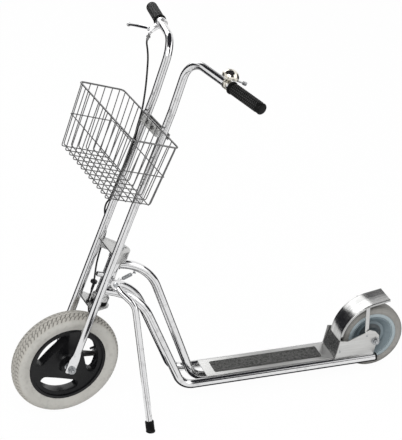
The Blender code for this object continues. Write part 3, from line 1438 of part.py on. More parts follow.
def guard_radius(angle):
    """Inside of the mudguard: it leaves the tyre towards its tail."""
    share = (angle - GUARD_START) / (GUARD_END - GUARD_START)
    return REAR_RADIUS + GUARD_CLEARANCE + 0.010 * share * share


def guard_point(angle, out=0.0):
    reach = guard_radius(angle) + out
    return REAR_AXLE + Vector((math.cos(angle), 0.0, math.sin(angle))) * reach


def rear_guard():
    """Curved mudguard with its long edges turned down and a flared tail."""
    steps = 12
    rows = []
    for step in range(steps + 1):
        angle = GUARD_START + (GUARD_END - GUARD_START) * step / steps
        rows.append((guard_point(angle), Vector((math.cos(angle), 0.0, math.sin(angle)))))
    back = Vector((-math.cos(GUARD_FLARE), 0.0, math.sin(GUARD_FLARE)))
    upward = Vector((math.sin(GUARD_FLARE), 0.0, math.cos(GUARD_FLARE)))
    rows.append((rows[-1][0] + back * GUARD_TAIL, upward))
    half = GUARD_HALF_WIDTH
    thin = GUARD_SHEET
    outer = [(half, -GUARD_LIP), (half, thin - 0.002), (half - 0.002, thin)]
    inner = [(half - thin, -GUARD_LIP), (half - thin, -0.001), (half - thin - 0.001, 0.0)]
    profile = outer + [(-y, z) for y, z in outer[::-1]] + [(-y, z) for y, z in inner] + inner[::-1]
    sections = [[point + LEFT * y + normal * z for y, z in profile] for point, normal in rows]
    guard = piece("rear_mudguard", lofted(sections), sheet, scooter)
    weld(guard, guard_stay(1.0), guard_stay(-1.0))


def guard_stay(side):
    """Flat stay from the inside of a cheek, leaning in to the turned edge of the mudguard."""
    low_side = CHEEK_SIDE - 0.5 * CHEEK_SHEET - SEAT - STRAP_SHEET
    high_side = GUARD_HALF_WIDTH - 0.0005
    angle = math.acos(STRAP_AHEAD / guard_radius(math.radians(72.0)))
    centre = REAR_AXLE.x + STRAP_AHEAD
    top = REAR_AXLE.z + guard_radius(angle) * math.sin(angle)
    corner = REAR_AXLE.z + 0.034
    rows = [
        (low_side, corner - STRAP_LAP),
        (low_side, corner + 0.001),
        (high_side, top - GUARD_LIP - 0.003),
        (high_side, top - 0.0005),
    ]
    sections = []
    for y, z in rows:
        edge = [(-0.5, 0.0), (0.5, 0.0), (0.5, 1.0), (-0.5, 1.0)]
        sections.append([(centre + u * STRAP_WIDTH, side * (y + v * STRAP_SHEET), z) for u, v in edge])
    stay = lofted(sections)
    bmesh.ops.recalc_face_normals(stay, faces=stay.faces)
    return stay


# Side stand


def stand_frame():
    """Empty on the stand's pivot, with Z along the bolt."""
    return holder("stand_axis", scooter, STAND_PIVOT, facing(STAND_AXIS))


def stand_bolt():
    near = -STAND_EYE_HALF - SEAT
    head = STAND_EYE_HALF + SEAT
    shape = moved(rod(STAND_BOLT_RADIUS, near - 0.012, head + 0.001), STAND_PIVOT, facing(STAND_AXIS))
    bolt = piece("stand_bolt", shape, steel, scooter)
    weld(bolt, moved(hexagon(STAND_BOLT_HEAD, head, head + 0.004), STAND_PIVOT, facing(STAND_AXIS)))


def ground_point():
    """Where the stand touches the ground, in the upright scooter's coordinates."""
    return Vector((STAND_FOOT.x, STAND_FOOT.y, STAND_FOOT.y * math.tan(LEAN)))


def hook_place():
    """Foot of the pin on the stand's lug that the spring pulls on, behind and above the pivot."""
    pull = SPRING_EYE - STAND_PIVOT
    pull = (pull - STAND_AXIS * pull.dot(STAND_AXIS)).normalized()
    lift = STAND_AXIS.cross(pull)
    lift = lift if lift.z > 0.0 else -lift
    return STAND_PIVOT + (pull + lift * 0.5).normalized() * STAND_HOOK_BACK


def hook_middle():
    return hook_place() + STAND_AXIS * (STAND_EYE_HALF + 0.75 * STAND_HOOK_LENGTH)


def spring_pull():
    """Direction of the spring, from the stand's hook to the eye under the top tube."""
    return (SPRING_EYE - hook_middle()).normalized()


def stand(hinge):
    """Bent leg with an eye on the pivot and a hook for the spring, and its rubber foot."""
    foot = ground_point()
    down = (foot - STAND_BEND).normalized()
    end = foot - down * 0.007
    into_hinge = hinge.rotation_euler.to_matrix().inverted().to_4x4() @ Matrix.Translation(-STAND_PIVOT)
    corners = [STAND_PIVOT, STAND_OVER_TUBE, STAND_BEND, end]
    line = rounded(corners, [0.0, STAND_UPPER_BEND, STAND_LOWER_BEND, 0.0], BEND_STEPS)
    shape = tube(line, STAND_TUBE_RADIUS)
    shape.transform(into_hinge)
    leg = piece("stand_leg", shape, zinc, hinge)
    eye = rod(STAND_EYE_RADIUS, -STAND_EYE_HALF, STAND_EYE_HALF, HUB_SIDES)
    pin_foot = into_hinge @ hook_place()
    pin = moved(rod(STAND_HOOK_RADIUS, 0.0, STAND_EYE_HALF + STAND_HOOK_LENGTH), pin_foot)
    room = STAND_EYE_HALF - 0.0002
    cut(leg, rod(0.02, -0.03, -room, HUB_SIDES), rod(0.012, room, 0.012, HUB_SIDES))
    reach = pin_foot.to_3d().normalized()
    side = Vector((-reach.y, reach.x, 0.0)) * 0.0045
    tip = reach * (STAND_HOOK_BACK + 0.003)
    lug = [(point.x, point.y) for point in (side, -side, tip - side, tip + side)]
    weld(leg, eye, slab(lug, -0.25 * room, room), pin)
    cut(leg, rod(STAND_BOLT_RADIUS + RUN, -0.05, 0.05, HUB_SIDES))
    wall = STAND_TUBE_RADIUS + SEAT + FOOT_WALL
    depth = 0.006
    outline = [
        (0.0, -depth),
        (wall, -depth),
        (wall + 0.001, 0.0),
        (wall, FOOT_LENGTH - 0.002),
        (wall - 0.001, FOOT_LENGTH),
        (STAND_TUBE_RADIUS + SEAT, FOOT_LENGTH),
        (STAND_TUBE_RADIUS + SEAT, 0.007 - SEAT),
        (0.0, 0.007 - SEAT),
    ]
    shape = moved(turned(outline, HUB_SIDES), foot, facing(-down))
    shape.transform(into_hinge)
    shoe = piece("stand_foot", shape, black_rubber, hinge)
    ground = block((-0.1, -0.1, -0.1), (0.1, 0.1, 0.0))
    ground.transform(Matrix.Rotation(LEAN, 4, "X"))
    ground = moved(ground, foot)
    ground.transform(into_hinge)
    cut(shoe, ground)


def spring_line():
    """Straight end, evenly wound curls and straight end, between the stand's hook and the eye."""
    hook = hook_middle()
    along = spring_pull()
    lean = math.sqrt(1.0 - along.dot(STAND_AXIS) ** 2)
    start = hook + along * (STAND_HOOK_RADIUS + SEAT + SPRING_WIRE_RADIUS) / lean
    finish_at = SPRING_EYE - along * (SPRING_EYE_RADIUS + SEAT + SPRING_WIRE_RADIUS)
    spare = (finish_at - start).length - SPRING_LENGTH
    first = start + along * 0.45 * spare
    side = along.cross(LEFT).normalized()
    third = along.cross(side)
    line = [start, first - along * 0.002]
    count = SPRING_CURLS * CURL_POINTS
    for index in range(count + 1):
        angle = 2.0 * math.pi * index / CURL_POINTS
        arm = (side * math.cos(angle) + third * math.sin(angle)) * SPRING_RADIUS
        line.append(first + along * SPRING_LENGTH * index / count + arm)
    line += [first + along * (SPRING_LENGTH + 0.002), finish_at]
    return line


def stand_spring():
    line = spring_line()
    curls = line[2:-2]
    least = 1.0
    for index, point in enumerate(curls):
        for other in curls[index + CURL_POINTS // 2 + 2:index + 2 * CURL_POINTS]:
            least = min(least, (point - other).length - 2.0 * SPRING_WIRE_RADIUS)
    print(f"stand spring: least gap to itself {least * 1000.0:.2f} mm")
    wire_object("stand_spring", line, SPRING_WIRE_RADIUS, 1, steel, scooter)


# Assembly

front_tyre()
front_rim()
brake_drum()
bearing("front_bearing_left", front_hub, 1.0, FRONT_HUB_OUT)
bearing("front_bearing_right", front_hub, -1.0, DRUM_FACE - DRUM_DEPTH)
rear_tyre()
rear_rim()
bearing("rear_bearing_left", rear_hub, 1.0, 0.5 * REAR_HUB_WIDTH)
bearing("rear_bearing_right", rear_hub, -1.0, 0.5 * REAR_HUB_WIDTH)
front_place = (FORK_RAKE, 0.0, 0.0)
cheek_inside = CHEEK_SIDE - 0.5 * CHEEK_SHEET
cheek_outside = CHEEK_SIDE + 0.5 * CHEEK_SHEET
axle("front_axle", steering, front_place, FRONT_HUB_OUT, DROPOUT_INSIDE, DROPOUT_OUTSIDE)
axle("rear_axle", scooter, REAR_AXLE, 0.5 * REAR_HUB_WIDTH, cheek_inside, cheek_outside)
for side_name, side in (("left", 1.0), ("right", -1.0)):
    axle_nut(f"front_nut_{side_name}", steering, front_place, side, DROPOUT_OUTSIDE)
    axle_nut(f"rear_nut_{side_name}", scooter, REAR_AXLE, side, cheek_outside)
    steering_tube(f"steering_tube_{side_name}", side)
    grip(f"grip_{side_name}", side)
    side_tube(f"side_tube_{side_name}", side)
    rail_cap(f"rail_cap_{side_name}", side)
upper_yoke()
lower_yoke()
steering_stem()
stem_nut()
head_tube()
head_bearings()
brake_plate()
brake_shoe("brake_shoe_upper", 1.0)
brake_shoe("brake_shoe_lower", -1.0)
brake_arm()
lever_place, lever_outward, lever_forward = lever_mount()
cable_start, cable_down = lever_bracket(lever_place, lever_outward, lever_forward)
brake_lever(lever_place)
brake_cable(cable_start, cable_down)
cable_clip()
bell(bell_mount())
basket()
basket_mount()
top_tube()
cross_member()
deck()
rear_bracket()
rear_guard()
stand_bolt()
stand(stand_frame())
stand_spring()

# Lean onto the stand, with the origin at the middle of the footprint

scooter.rotation_euler = (-LEAN, 0.0, 0.0)
bpy.context.view_layer.update()
graph = bpy.context.evaluated_depsgraph_get()
low = Vector((1e9, 1e9, 1e9))
high = -low
for made in bpy.data.objects:
    if made.type == "EMPTY" or made.hide_render:
        continue
    shown = made.evaluated_get(graph)
    mesh = shown.to_mesh()
    for vertex in mesh.vertices:
        place = shown.matrix_world @ vertex.co
        low = Vector(map(min, low, place))
        high = Vector(map(max, high, place))
    shown.to_mesh_clear()
scooter.location = (-0.5 * (low.x + high.x), -0.5 * (low.y + high.y), -low.z)
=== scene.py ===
# Industrial kick scooter: fine surfaces, finishes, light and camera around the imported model.
import json
import math

import bpy
from mathutils import Matrix, Vector

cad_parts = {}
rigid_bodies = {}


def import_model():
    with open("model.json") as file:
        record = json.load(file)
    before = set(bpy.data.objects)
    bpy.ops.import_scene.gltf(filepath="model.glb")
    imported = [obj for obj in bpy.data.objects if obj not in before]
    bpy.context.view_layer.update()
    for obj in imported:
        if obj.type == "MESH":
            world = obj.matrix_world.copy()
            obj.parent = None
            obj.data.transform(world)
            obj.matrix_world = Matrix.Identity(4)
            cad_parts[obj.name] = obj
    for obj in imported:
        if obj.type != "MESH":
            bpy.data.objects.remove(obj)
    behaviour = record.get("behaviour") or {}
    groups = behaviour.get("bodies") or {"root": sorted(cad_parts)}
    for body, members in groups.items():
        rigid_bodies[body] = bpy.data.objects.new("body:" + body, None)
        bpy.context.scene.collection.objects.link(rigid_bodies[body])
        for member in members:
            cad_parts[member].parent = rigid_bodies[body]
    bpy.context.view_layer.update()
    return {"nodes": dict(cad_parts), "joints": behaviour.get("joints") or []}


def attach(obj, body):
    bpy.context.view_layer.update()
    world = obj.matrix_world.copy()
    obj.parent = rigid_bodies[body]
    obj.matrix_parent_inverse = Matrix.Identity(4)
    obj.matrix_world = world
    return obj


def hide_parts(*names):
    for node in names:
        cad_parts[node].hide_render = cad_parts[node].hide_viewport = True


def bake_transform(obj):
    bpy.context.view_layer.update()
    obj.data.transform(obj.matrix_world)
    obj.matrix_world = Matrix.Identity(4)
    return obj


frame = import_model()
print("stage: packed model loaded")

# Where the scooter stands: the upright scooter's own axes, leaning on the stand
stance = {"lean": 3.0, "headAngle": 71.05, "steerTurn": 6.7, "wheelbase": 0.9315, "frontRadius": 0.156,
          "rearRadius": 0.100, "rake": 0.0314}
gap = 0.0003  # between two pieces that touch

joints = {joint["name"]: joint for joint in frame["joints"]}
upright = Matrix.Rotation(math.radians(-stance["lean"]), 4, "X")
rearAxle = Vector((-stance["wheelbase"], 0.0, stance["rearRadius"]))
scooterFrame = Matrix.Translation(Vector(joints["rear_wheel_spin"]["pos_m"]) - upright @ rearAxle) @ upright
headTilt = math.radians(stance["headAngle"])
headBase = Vector((-stance["rake"] * math.sin(headTilt), 0.0,
                   stance["frontRadius"] - stance["rake"] * math.cos(headTilt)))
headFrame = scooterFrame @ Matrix.Translation(headBase) @ Matrix.Rotation(headTilt - math.pi / 2, 4, "Y")
steeringFrame = headFrame @ Matrix.Rotation(math.radians(stance["steerTurn"]), 4, "Z")
frontHub = steeringFrame @ Matrix.Translation((stance["rake"], 0.0, 0.0))
rearHub = scooterFrame @ Matrix.Translation(rearAxle)
toLeft = Matrix.Rotation(-math.pi / 2, 4, "X")  # carries +Z onto +Y
toRight = Matrix.Rotation(math.pi / 2, 4, "X")


# Camera, floor and light

cameraView = {"place": (1.0391, 3.7308, 2.6620), "yaw": -1.933, "pitch": -0.487, "roll": 0.059,
              "focal": 1651.8, "centre": (199.58, 219.68), "frame": (402, 440), "sensor": 36.0,
              "clip": (0.05, 60.0)}


def addCamera():
    yaw, pitch, roll = (cameraView[key] for key in ("yaw", "pitch", "roll"))
    ahead = Vector((math.cos(pitch) * math.cos(yaw), math.cos(pitch) * math.sin(yaw), math.sin(pitch)))
    right = ahead.cross(Vector((0.0, 0.0, 1.0))).normalized()
    up = right.cross(ahead)
    rightRolled = right * math.cos(roll) + up * math.sin(roll)
    upRolled = up * math.cos(roll) - right * math.sin(roll)
    turn = Matrix((rightRolled, upRolled, -ahead)).transposed().to_4x4()
    bpy.ops.object.camera_add()
    camera = start("photoCamera")
    wide, high = cameraView["frame"]
    longSide = max(wide, high)
    camera.data.sensor_width = cameraView["sensor"]
    camera.data.lens = cameraView["sensor"] * cameraView["focal"] / longSide
    camera.data.shift_x = -(cameraView["centre"][0] - wide / 2) / longSide
    camera.data.shift_y = (cameraView["centre"][1] - high / 2) / longSide
    camera.data.clip_start, camera.data.clip_end = cameraView["clip"]
    camera.matrix_world = at(scooterFrame, cameraView["place"]) @ turn
    bpy.context.scene.camera = camera
    bpy.context.scene.view_settings.view_transform = "Standard"


lights = {"key": {"place": (1.8, 2.4, 3.4), "size": 2.6, "power": 92.0},
          "fill": {"place": (-2.6, 1.6, 2.2), "size": 2.8, "power": 20.0},
          "rim": {"place": (0.4, -3.0, 2.6), "size": 2.4, "power": 30.0}}
studio = {"floorSize": 14.0, "ambient": 0.56, "floorGlow": 0.97, "floorColour": 0.92, "aim": (0.0, 0.0, 0.45)}
white = (1.0, 1.0, 1.0, 1.0)


# Adds a node: its settings first, then the values or links of its sockets.
def addNode(tree, kind, settings=None, sockets=None):
    made = tree.nodes.new(kind)
    for key, value in (settings or {}).items():
        setattr(made, key, value)
    for key, value in (sockets or {}).items():
        if isinstance(value, bpy.types.NodeSocket):
            tree.links.new(value, made.inputs[key])
        else:
            made.inputs[key].default_value = value
    return made


# 1 for rays of these kinds and 0 for all others.
def raysOf(tree, *kinds):
    rays = addNode(tree, "ShaderNodeLightPath")
    share = 0.0
    for kind in kinds:
        sockets = {0: share, 1: rays.outputs[kind]}
        share = addNode(tree, "ShaderNodeMath", {"operation": "MAXIMUM"}, sockets).outputs[0]
    return share


# Feeds the output of a node tree with one shader for most rays, and another for a share of them.
def mixShaders(tree, outputKind, share, first, second):
    blend = addNode(tree, "ShaderNodeMixShader", {}, {0: share, 1: first.outputs[0], 2: second.outputs[0]})
    addNode(tree, outputKind, {}, {"Surface": blend.outputs[0]})


def emptyTree(owner):
    owner.use_nodes = True
    owner.node_tree.nodes.clear()
    return owner.node_tree


def addStage():
    bpy.ops.mesh.primitive_plane_add(size=studio["floorSize"])
    floor = start("studioFloor")
    surface = bpy.data.materials.new("studioFloor")
    tree = emptyTree(surface)
    seen = raysOf(tree, "Is Camera Ray", "Is Glossy Ray")
    share = addNode(tree, "ShaderNodeMath", {"operation": "MULTIPLY"}, {0: seen, 1: studio["floorGlow"]})
    matt = addNode(tree, "ShaderNodeBsdfDiffuse", {}, {"Color": (*[studio["floorColour"]] * 3, 1.0)})
    glow = addNode(tree, "ShaderNodeEmission", {}, {"Color": white, "Strength": 1.0})
    mixShaders(tree, "ShaderNodeOutputMaterial", share.outputs[0], matt, glow)
    floor.data.materials.append(surface)

    world = bpy.data.worlds.new("studio")
    bpy.context.scene.world = world
    tree = emptyTree(world)
    seen = raysOf(tree, "Is Camera Ray", "Is Glossy Ray", "Is Transmission Ray")
    ambient = addNode(tree, "ShaderNodeBackground", {}, {"Color": white, "Strength": studio["ambient"]})
    bright = addNode(tree, "ShaderNodeBackground", {}, {"Color": white, "Strength": 1.0})
    mixShaders(tree, "ShaderNodeOutputWorld", seen, ambient, bright)

    for name, setting in lights.items():
        bpy.ops.object.light_add(type="AREA", location=setting["place"])
        lamp = start(name + "Softbox")
        lamp.data.size = setting["size"]
        lamp.data.energy = setting["power"]
        ahead = Vector(studio["aim"]) - Vector(setting["place"])
        lamp.rotation_euler = ahead.to_track_quat("-Z", "Y").to_euler()

    # Dark cards, seen only in polished metal
    black = Finish("studioCard", **{"Base Color": (0.03, 0.03, 0.035, 1.0), "Roughness": 1.0,
                                    "Specular IOR Level": 0.0}).material
    for index, corners in enumerate(cards):
        card = ringOf(f"darkCard{index}", corners, "NGON")
        card.data.materials.append(black)
        for kind in ("camera", "diffuse", "transmission", "shadow"):
            setattr(card, "visible_" + kind, False)


# A card between two azimuths, 0 towards +Y and 90 towards +X, from (reach, height) to (reach, height).
def sector(first, last, near, far):
    corners = []
    for degrees, (reach, height) in ((first, near), (last, near), (last, far), (first, far)):
        angle = math.radians(degrees)
        corners.append((reach * math.sin(angle), reach * math.cos(angle), height))
    return corners


# A card on the floor from a reach outwards, or one that stands at the far reach up to a height.
def floorCard(first, last, near=0.15):
    return sector(first, last, (near, cardReach["level"]), (cardReach["far"], cardReach["level"]))


def roundWall(first, last, height):
    return sector(first, last, (cardReach["far"], 0.0), (cardReach["far"], height))


# A straight card that stands from one (x, y) to another.
def flatWall(first, last, low, high):
    return [(*first, low), (*last, low), (*last, high), (*first, high)]


def levelCard(first, last, height):
    return [(*first, height), (last[0], first[1], height), (*last, height), (first[0], last[1], height)]


cardReach = {"far": 4.4, "level": 0.004, "overhead": 4.1}
cards = [floorCard(110.0, 172.0), roundWall(110.0, 172.0, 2.7),
         floorCard(44.0, 56.0), roundWall(44.0, 56.0, 2.7),
         floorCard(-88.0, -128.0, 0.30), roundWall(-66.0, -122.0, 2.2),
         floorCard(-6.0, -14.0, 0.45),
         flatWall((-2.6, -4.0), (0.85, -4.0), 2.60, 3.9), flatWall((1.9, -4.2), (4.4, -3.6), 0.0, 1.35),
         levelCard((-3.2, -3.2), (3.2, 4.7), cardReach["overhead"]),
         levelCard((-4.8, 4.7), (1.0, 10.8), cardReach["overhead"]),
         levelCard((-0.70, -0.05), (0.25, 0.03), cardReach["level"])]


# Shader tools

# A shader output that can be used in sums.
class Link:
    def __init__(self, finish, output):
        self.finish = finish
        self.output = output

    def sum(self, operation, first, second):
        return self.finish.node("ShaderNodeMath", {"operation": operation}, {0: first, 1: second})

    def __add__(self, other):
        return self.sum("ADD", self, other)

    def __radd__(self, other):
        return self.sum("ADD", other, self)

    def __sub__(self, other):
        return self.sum("SUBTRACT", self, other)

    def __rsub__(self, other):
        return self.sum("SUBTRACT", other, self)

    def __mul__(self, other):
        return self.sum("MULTIPLY", self, other)

    # 0 below a level and 1 above it, over a soft step.
    def above(self, level, soft):
        return self.finish.node("ShaderNodeMapRange", {"interpolation_type": "SMOOTHSTEP"},
                                {"Value": self, "From Min": level - soft, "From Max": level + soft})


# A Principled material whose nodes all come from one method.
class Finish:
    def __init__(self, name, metallic=0.0, **plain):
        self.material = bpy.data.materials.new(name)
        self.material.use_nodes = True
        self.tree = self.material.node_tree
        self.shader = self.tree.nodes["Principled BSDF"]
        self.shader.inputs["Metallic"].default_value = metallic
        for key, value in plain.items():
            self.shader.inputs[key].default_value = value
        self.place = self.node("ShaderNodeTexCoord", output="Object")

    def node(self, kind, settings=None, sockets=None, output=0):
        values = {key: value.output if isinstance(value, Link) else value
                  for key, value in (sockets or {}).items()}
        return Link(self, addNode(self.tree, kind, settings, values).outputs[output])

    def noise(self, scale, detail=2.0, place=None):
        sockets = {"Vector": place or self.place, "Scale": scale, "Detail": detail}
        return self.node("ShaderNodeTexNoise", {}, sockets)

    def stretched(self, scale):
        return self.node("ShaderNodeMapping", {}, {"Vector": self.place, "Scale": scale})

    # Distance from a spot.
    def reach(self, spot):
        return self.node("ShaderNodeVectorMath", {"operation": "DISTANCE"}, {0: self.place, 1: spot}, 1)

    def attribute(self, name):
        return self.node("ShaderNodeAttribute", {"attribute_name": name}, output=2)

    def colour(self, amount, first, second):
        values = [value if isinstance(value, Link) else (*value, 1.0) for value in (first, second)]
        return self.node("ShaderNodeMix", {"data_type": "RGBA"}, {0: amount, 6: values[0], 7: values[1]}, 2)

    def feed(self, **inputs):
        for key, value in inputs.items():
            socket = self.shader.inputs[key.replace("_", " ")]
            if isinstance(value, Link):
                self.tree.links.new(value.output, socket)
            else:
                socket.default_value = value

    def bump(self, height, distance, strength):
        sockets = {"Height": height, "Distance": distance, "Strength": strength}
        self.feed(Normal=self.node("ShaderNodeBump", {}, sockets))


# Finishes

def brightZinc(name, light, dark, gloss):
    finish = Finish(name, 1.0)
    cloud = finish.noise(9.0, 3.0)
    spots = finish.noise(60.0, 4.0)
    grain = finish.noise(420.0, 2.0)
    stain = spots.above(0.60, 0.06)
    base = finish.colour(cloud, dark, light)
    finish.feed(Base_Color=finish.colour(stain * 0.35, base, [value * 0.72 for value in dark]),
                Roughness=gloss + cloud * 0.05 + stain * 0.08 + grain * 0.03)
    finish.bump(grain * 0.3 + cloud * 0.7, 0.00008, 0.15)
    return finish.material


# Rolled sheet; between is (half width, colour) of a darker web between two side plates.
def zincSheet(name, light, dark, gloss, stretch=(14.0, 260.0, 260.0), streaks=0.5, between=None):
    finish = Finish(name, 1.0)
    rolled = finish.noise(1.0, 4.0, finish.stretched(stretch))
    cloud = finish.noise(16.0, 3.0)
    grain = finish.noise(500.0, 1.0)
    marks = cloud * (1.0 - streaks) + rolled.above(0.5, 0.22) * streaks
    base = finish.colour(marks, dark, light)
    if between:
        half, web = between
        across = finish.node("ShaderNodeVectorMath", {"operation": "DOT_PRODUCT"},
                             {0: finish.place, 1: scooterSide}, 1) - scooterSide.dot(scooterFrame.translation)
        speckle = finish.noise(240.0, 3.0).above(0.52, 0.08)
        grit = finish.colour(speckle, [value * 0.45 for value in web], web)
        base = finish.colour((across * across).above(half * half, 0.0002), grit, base)
    finish.feed(Base_Color=base, Roughness=gloss + rolled * 0.12 + cloud * 0.08)
    finish.bump(rolled * 0.6 + grain * 0.4, 0.00010, 0.4)
    return finish.material


def steel(name, light, dark, gloss):
    finish = Finish(name, 1.0)
    cloud = finish.noise(40.0, 4.0)
    grain = finish.noise(700.0, 2.0)
    finish.feed(Base_Color=finish.colour(cloud, dark, light), Roughness=gloss + cloud * 0.14)
    finish.bump(cloud * 0.4 + grain * 0.6, 0.00008, 0.5)
    return finish.material


# Matt rubber; tread is (hub, radius, colour) of a worn running surface, whose grooves get painted shade by
# their depth, and the last argument is the colour of a painted highlight on the rib tops.
def rubber(name, light, dark, rough, grainSize=350.0, tread=None, specular=0.5, raised=None):
    finish = Finish(name, 0.0, **{"Specular IOR Level": specular})
    cloud = finish.noise(14.0, 4.0)
    dust = finish.noise(90.0, 4.0).above(0.58, 0.08)
    grain = finish.noise(grainSize, 3.0)
    base = finish.colour(cloud, dark, light)
    if tread:
        hub, radius, wearAndGrooveShade = tread
        reach = finish.reach(hub)
        base = finish.colour((reach + cloud * 0.004).above(radius, 0.003) * 0.7, base, wearAndGrooveShade)
        # Painted shade: the tread grooves are darkened by their depth.
        cut = finish.attribute("groove")
        base = finish.colour(cut, base, [value * 0.36 for value in wearAndGrooveShade])
    if raised:
        # Painted highlight: the rib tops are lightened, more where they stand proud.
        top = finish.attribute("raised")
        base = finish.colour(top * (0.35 + cloud * 0.9), base, raised)
    finish.feed(Base_Color=finish.colour(dust * 0.35, base, [value * 0.80 for value in dark]),
                Roughness=rough + cloud * 0.08 - dust * 0.05)
    finish.bump(grain + cloud * 0.5, 0.0002, 0.5)
    return finish.material


# Moulded plastic; ring is (hub, radius, colour, core radius, core colour) of a pale rim and a dark core.
def mouldedPlastic(name, light, dark, rough, coat=0.0, specular=0.5, ring=None):
    finish = Finish(name, 0.0, **{"Coat Weight": coat, "Coat Roughness": 0.12,
                                  "Specular IOR Level": specular})
    cloud = finish.noise(20.0, 3.0)
    skin = finish.noise(260.0, 2.0)
    scuff = finish.noise(45.0, 5.0).above(0.62, 0.05)
    base = finish.colour(cloud, dark, light)
    if ring:
        hub, radius, pale, core, deep = ring
        reach = finish.reach(hub)
        base = finish.colour(reach.above(radius, 0.0015) * (0.7 + cloud * 0.4), base, pale)
        base = finish.colour(reach.above(core, 0.002), deep, base)
    finish.feed(Base_Color=base, Roughness=rough + cloud * 0.07 + scuff * 0.12)
    finish.bump(skin + scuff * 0.3, 0.00008, 0.35)
    return finish.material


def gritSheet(name, light, dark, bright):
    finish = Finish(name, 0.0, **{"Specular IOR Level": 0.2})
    grains = finish.node("ShaderNodeTexVoronoi", {}, {"Vector": finish.place, "Scale": 900.0})
    patches = finish.noise(130.0, 3.0).above(0.46, 0.16)
    # Painted highlight: bright speckles mixed into the colour stand in for glints off the grit.
    paintedGlints = finish.noise(650.0, 1.0).above(0.60, 0.05)
    base = finish.colour(patches, dark, light)
    finish.feed(Base_Color=finish.colour(paintedGlints * 0.45, base, bright), Roughness=0.82 + grains * 0.12)
    finish.bump(1.0 - grains, 0.0006, 0.9)
    return finish.material


scooterSide = (scooterFrame.to_3x3() @ Vector((0.0, 1.0, 0.0))).normalized()
finishes = {
    "brightZinc": brightZinc("brightZinc", (0.82, 0.82, 0.825), (0.68, 0.68, 0.685), 0.055),
    "basketWire": brightZinc("basketWire", (0.24, 0.24, 0.24), (0.14, 0.14, 0.14), 0.26),
    "zincSheet": zincSheet("zincSheet", (0.68, 0.68, 0.67), (0.50, 0.50, 0.495), 0.24, streaks=0.25),
    "guardSheet": zincSheet("guardSheet", (0.70, 0.70, 0.69), (0.34, 0.34, 0.34), 0.09,
                            stretch=(4.0, 300.0, 4.0), streaks=0.7),
    "bracketSheet": zincSheet("bracketSheet", (0.66, 0.66, 0.65), (0.50, 0.50, 0.49), 0.26,
                              between=(0.0442, (0.42, 0.42, 0.415))),
    "clampSheet": zincSheet("clampSheet", (0.82, 0.82, 0.81), (0.56, 0.56, 0.55), 0.55),
    "deckSheet": zincSheet("deckSheet", (0.64, 0.64, 0.63), (0.46, 0.46, 0.455), 0.28, streaks=0.35),
    "paleClamp": steel("paleClamp", (0.80, 0.77, 0.69), (0.58, 0.55, 0.48), 0.20),
    "warmNickel": brightZinc("warmNickel", (0.84, 0.80, 0.71), (0.66, 0.62, 0.54), 0.10),
    "steel": steel("steel", (0.52, 0.53, 0.54), (0.34, 0.35, 0.36), 0.24),
    "darkSteel": steel("darkSteel", (0.36, 0.36, 0.36), (0.20, 0.20, 0.20), 0.32),
    "paleTyre": rubber("paleTyre", (0.54, 0.53, 0.495), (0.43, 0.42, 0.39), 0.62,
                       tread=(frontHub.translation, 0.149, (0.42, 0.40, 0.36))),
    "greyTyre": rubber("greyTyre", (0.36, 0.35, 0.33), (0.25, 0.245, 0.23), 0.60,
                       tread=(rearHub.translation, 0.094, (0.23, 0.225, 0.21))),
    "blackPlastic": mouldedPlastic("blackPlastic", (0.008, 0.008, 0.009), (0.0035, 0.0035, 0.004), 0.24,
                                   coat=0.10, specular=0.16),
    "bluePlastic": mouldedPlastic("bluePlastic", (0.20, 0.25, 0.275), (0.13, 0.17, 0.19), 0.30,
                                  ring=(rearHub.translation, 0.0655, (0.36, 0.425, 0.45), 0.036,
                                        (0.05, 0.06, 0.065))),
    # Black rubber; its last colour is a painted highlight, used on the grip's rib tops.
    "blackRubber": rubber("blackRubber", (0.006, 0.006, 0.006), (0.0025, 0.0025, 0.0025), 0.38, 600.0,
                          specular=0.12, raised=(0.045, 0.045, 0.045)),
    "cableSheath": mouldedPlastic("cableSheath", (0.010, 0.010, 0.010), (0.004, 0.004, 0.004), 0.35,
                                  specular=0.25),
    # Grit mat; its last colour is the painted glint on the grains.
    "blackGrit": gritSheet("blackGrit", (0.085, 0.085, 0.083), (0.024, 0.024, 0.024), (0.30, 0.30, 0.29)),
}
print("stage: finishes made")


# Modelling tools

def only(thing):
    bpy.ops.object.select_all(action="DESELECT")
    thing.select_set(True)
    bpy.context.view_layer.objects.active = thing
    return thing


# Names the object that the last operator added.
def start(name):
    thing = bpy.context.active_object
    thing.name = name
    thing.data.name = name
    return thing


# Runs edit-mode steps with everything selected.
def editing(thing, *steps):
    only(thing)
    bpy.ops.object.mode_set(mode="EDIT")
    bpy.ops.mesh.select_all(action="SELECT")
    for step in steps:
        step()
    bpy.ops.object.mode_set(mode="OBJECT")
    return thing


# Merges doubled points and turns every face outwards.
def closeUp():
    bpy.ops.mesh.select_all(action="SELECT")
    bpy.ops.mesh.remove_doubles(threshold=0.000005)
    bpy.ops.mesh.delete_loose()
    bpy.ops.mesh.select_all(action="SELECT")
    bpy.ops.mesh.normals_make_consistent(inside=False)


# A closed line of points, made from a circle.
def ringOf(name, points, fill="NOTHING"):
    bpy.ops.object.select_all(action="DESELECT")
    bpy.ops.mesh.primitive_circle_add(vertices=len(points), radius=1.0, fill_type=fill)
    thing = start(name)
    for vertex, point in zip(thing.data.vertices, points):
        vertex.co = point
    return thing


# Spins a closed profile of (radius, height) about Z.
def lathe(name, profile, steps=96):
    thing = ringOf(name, [(radius, 0.0, height) for radius, height in profile])

    def turn():
        bpy.ops.mesh.spin(steps=steps, angle=math.tau, center=(0.0, 0.0, 0.0), axis=(0.0, 0.0, 1.0))

    return editing(thing, turn, closeUp)


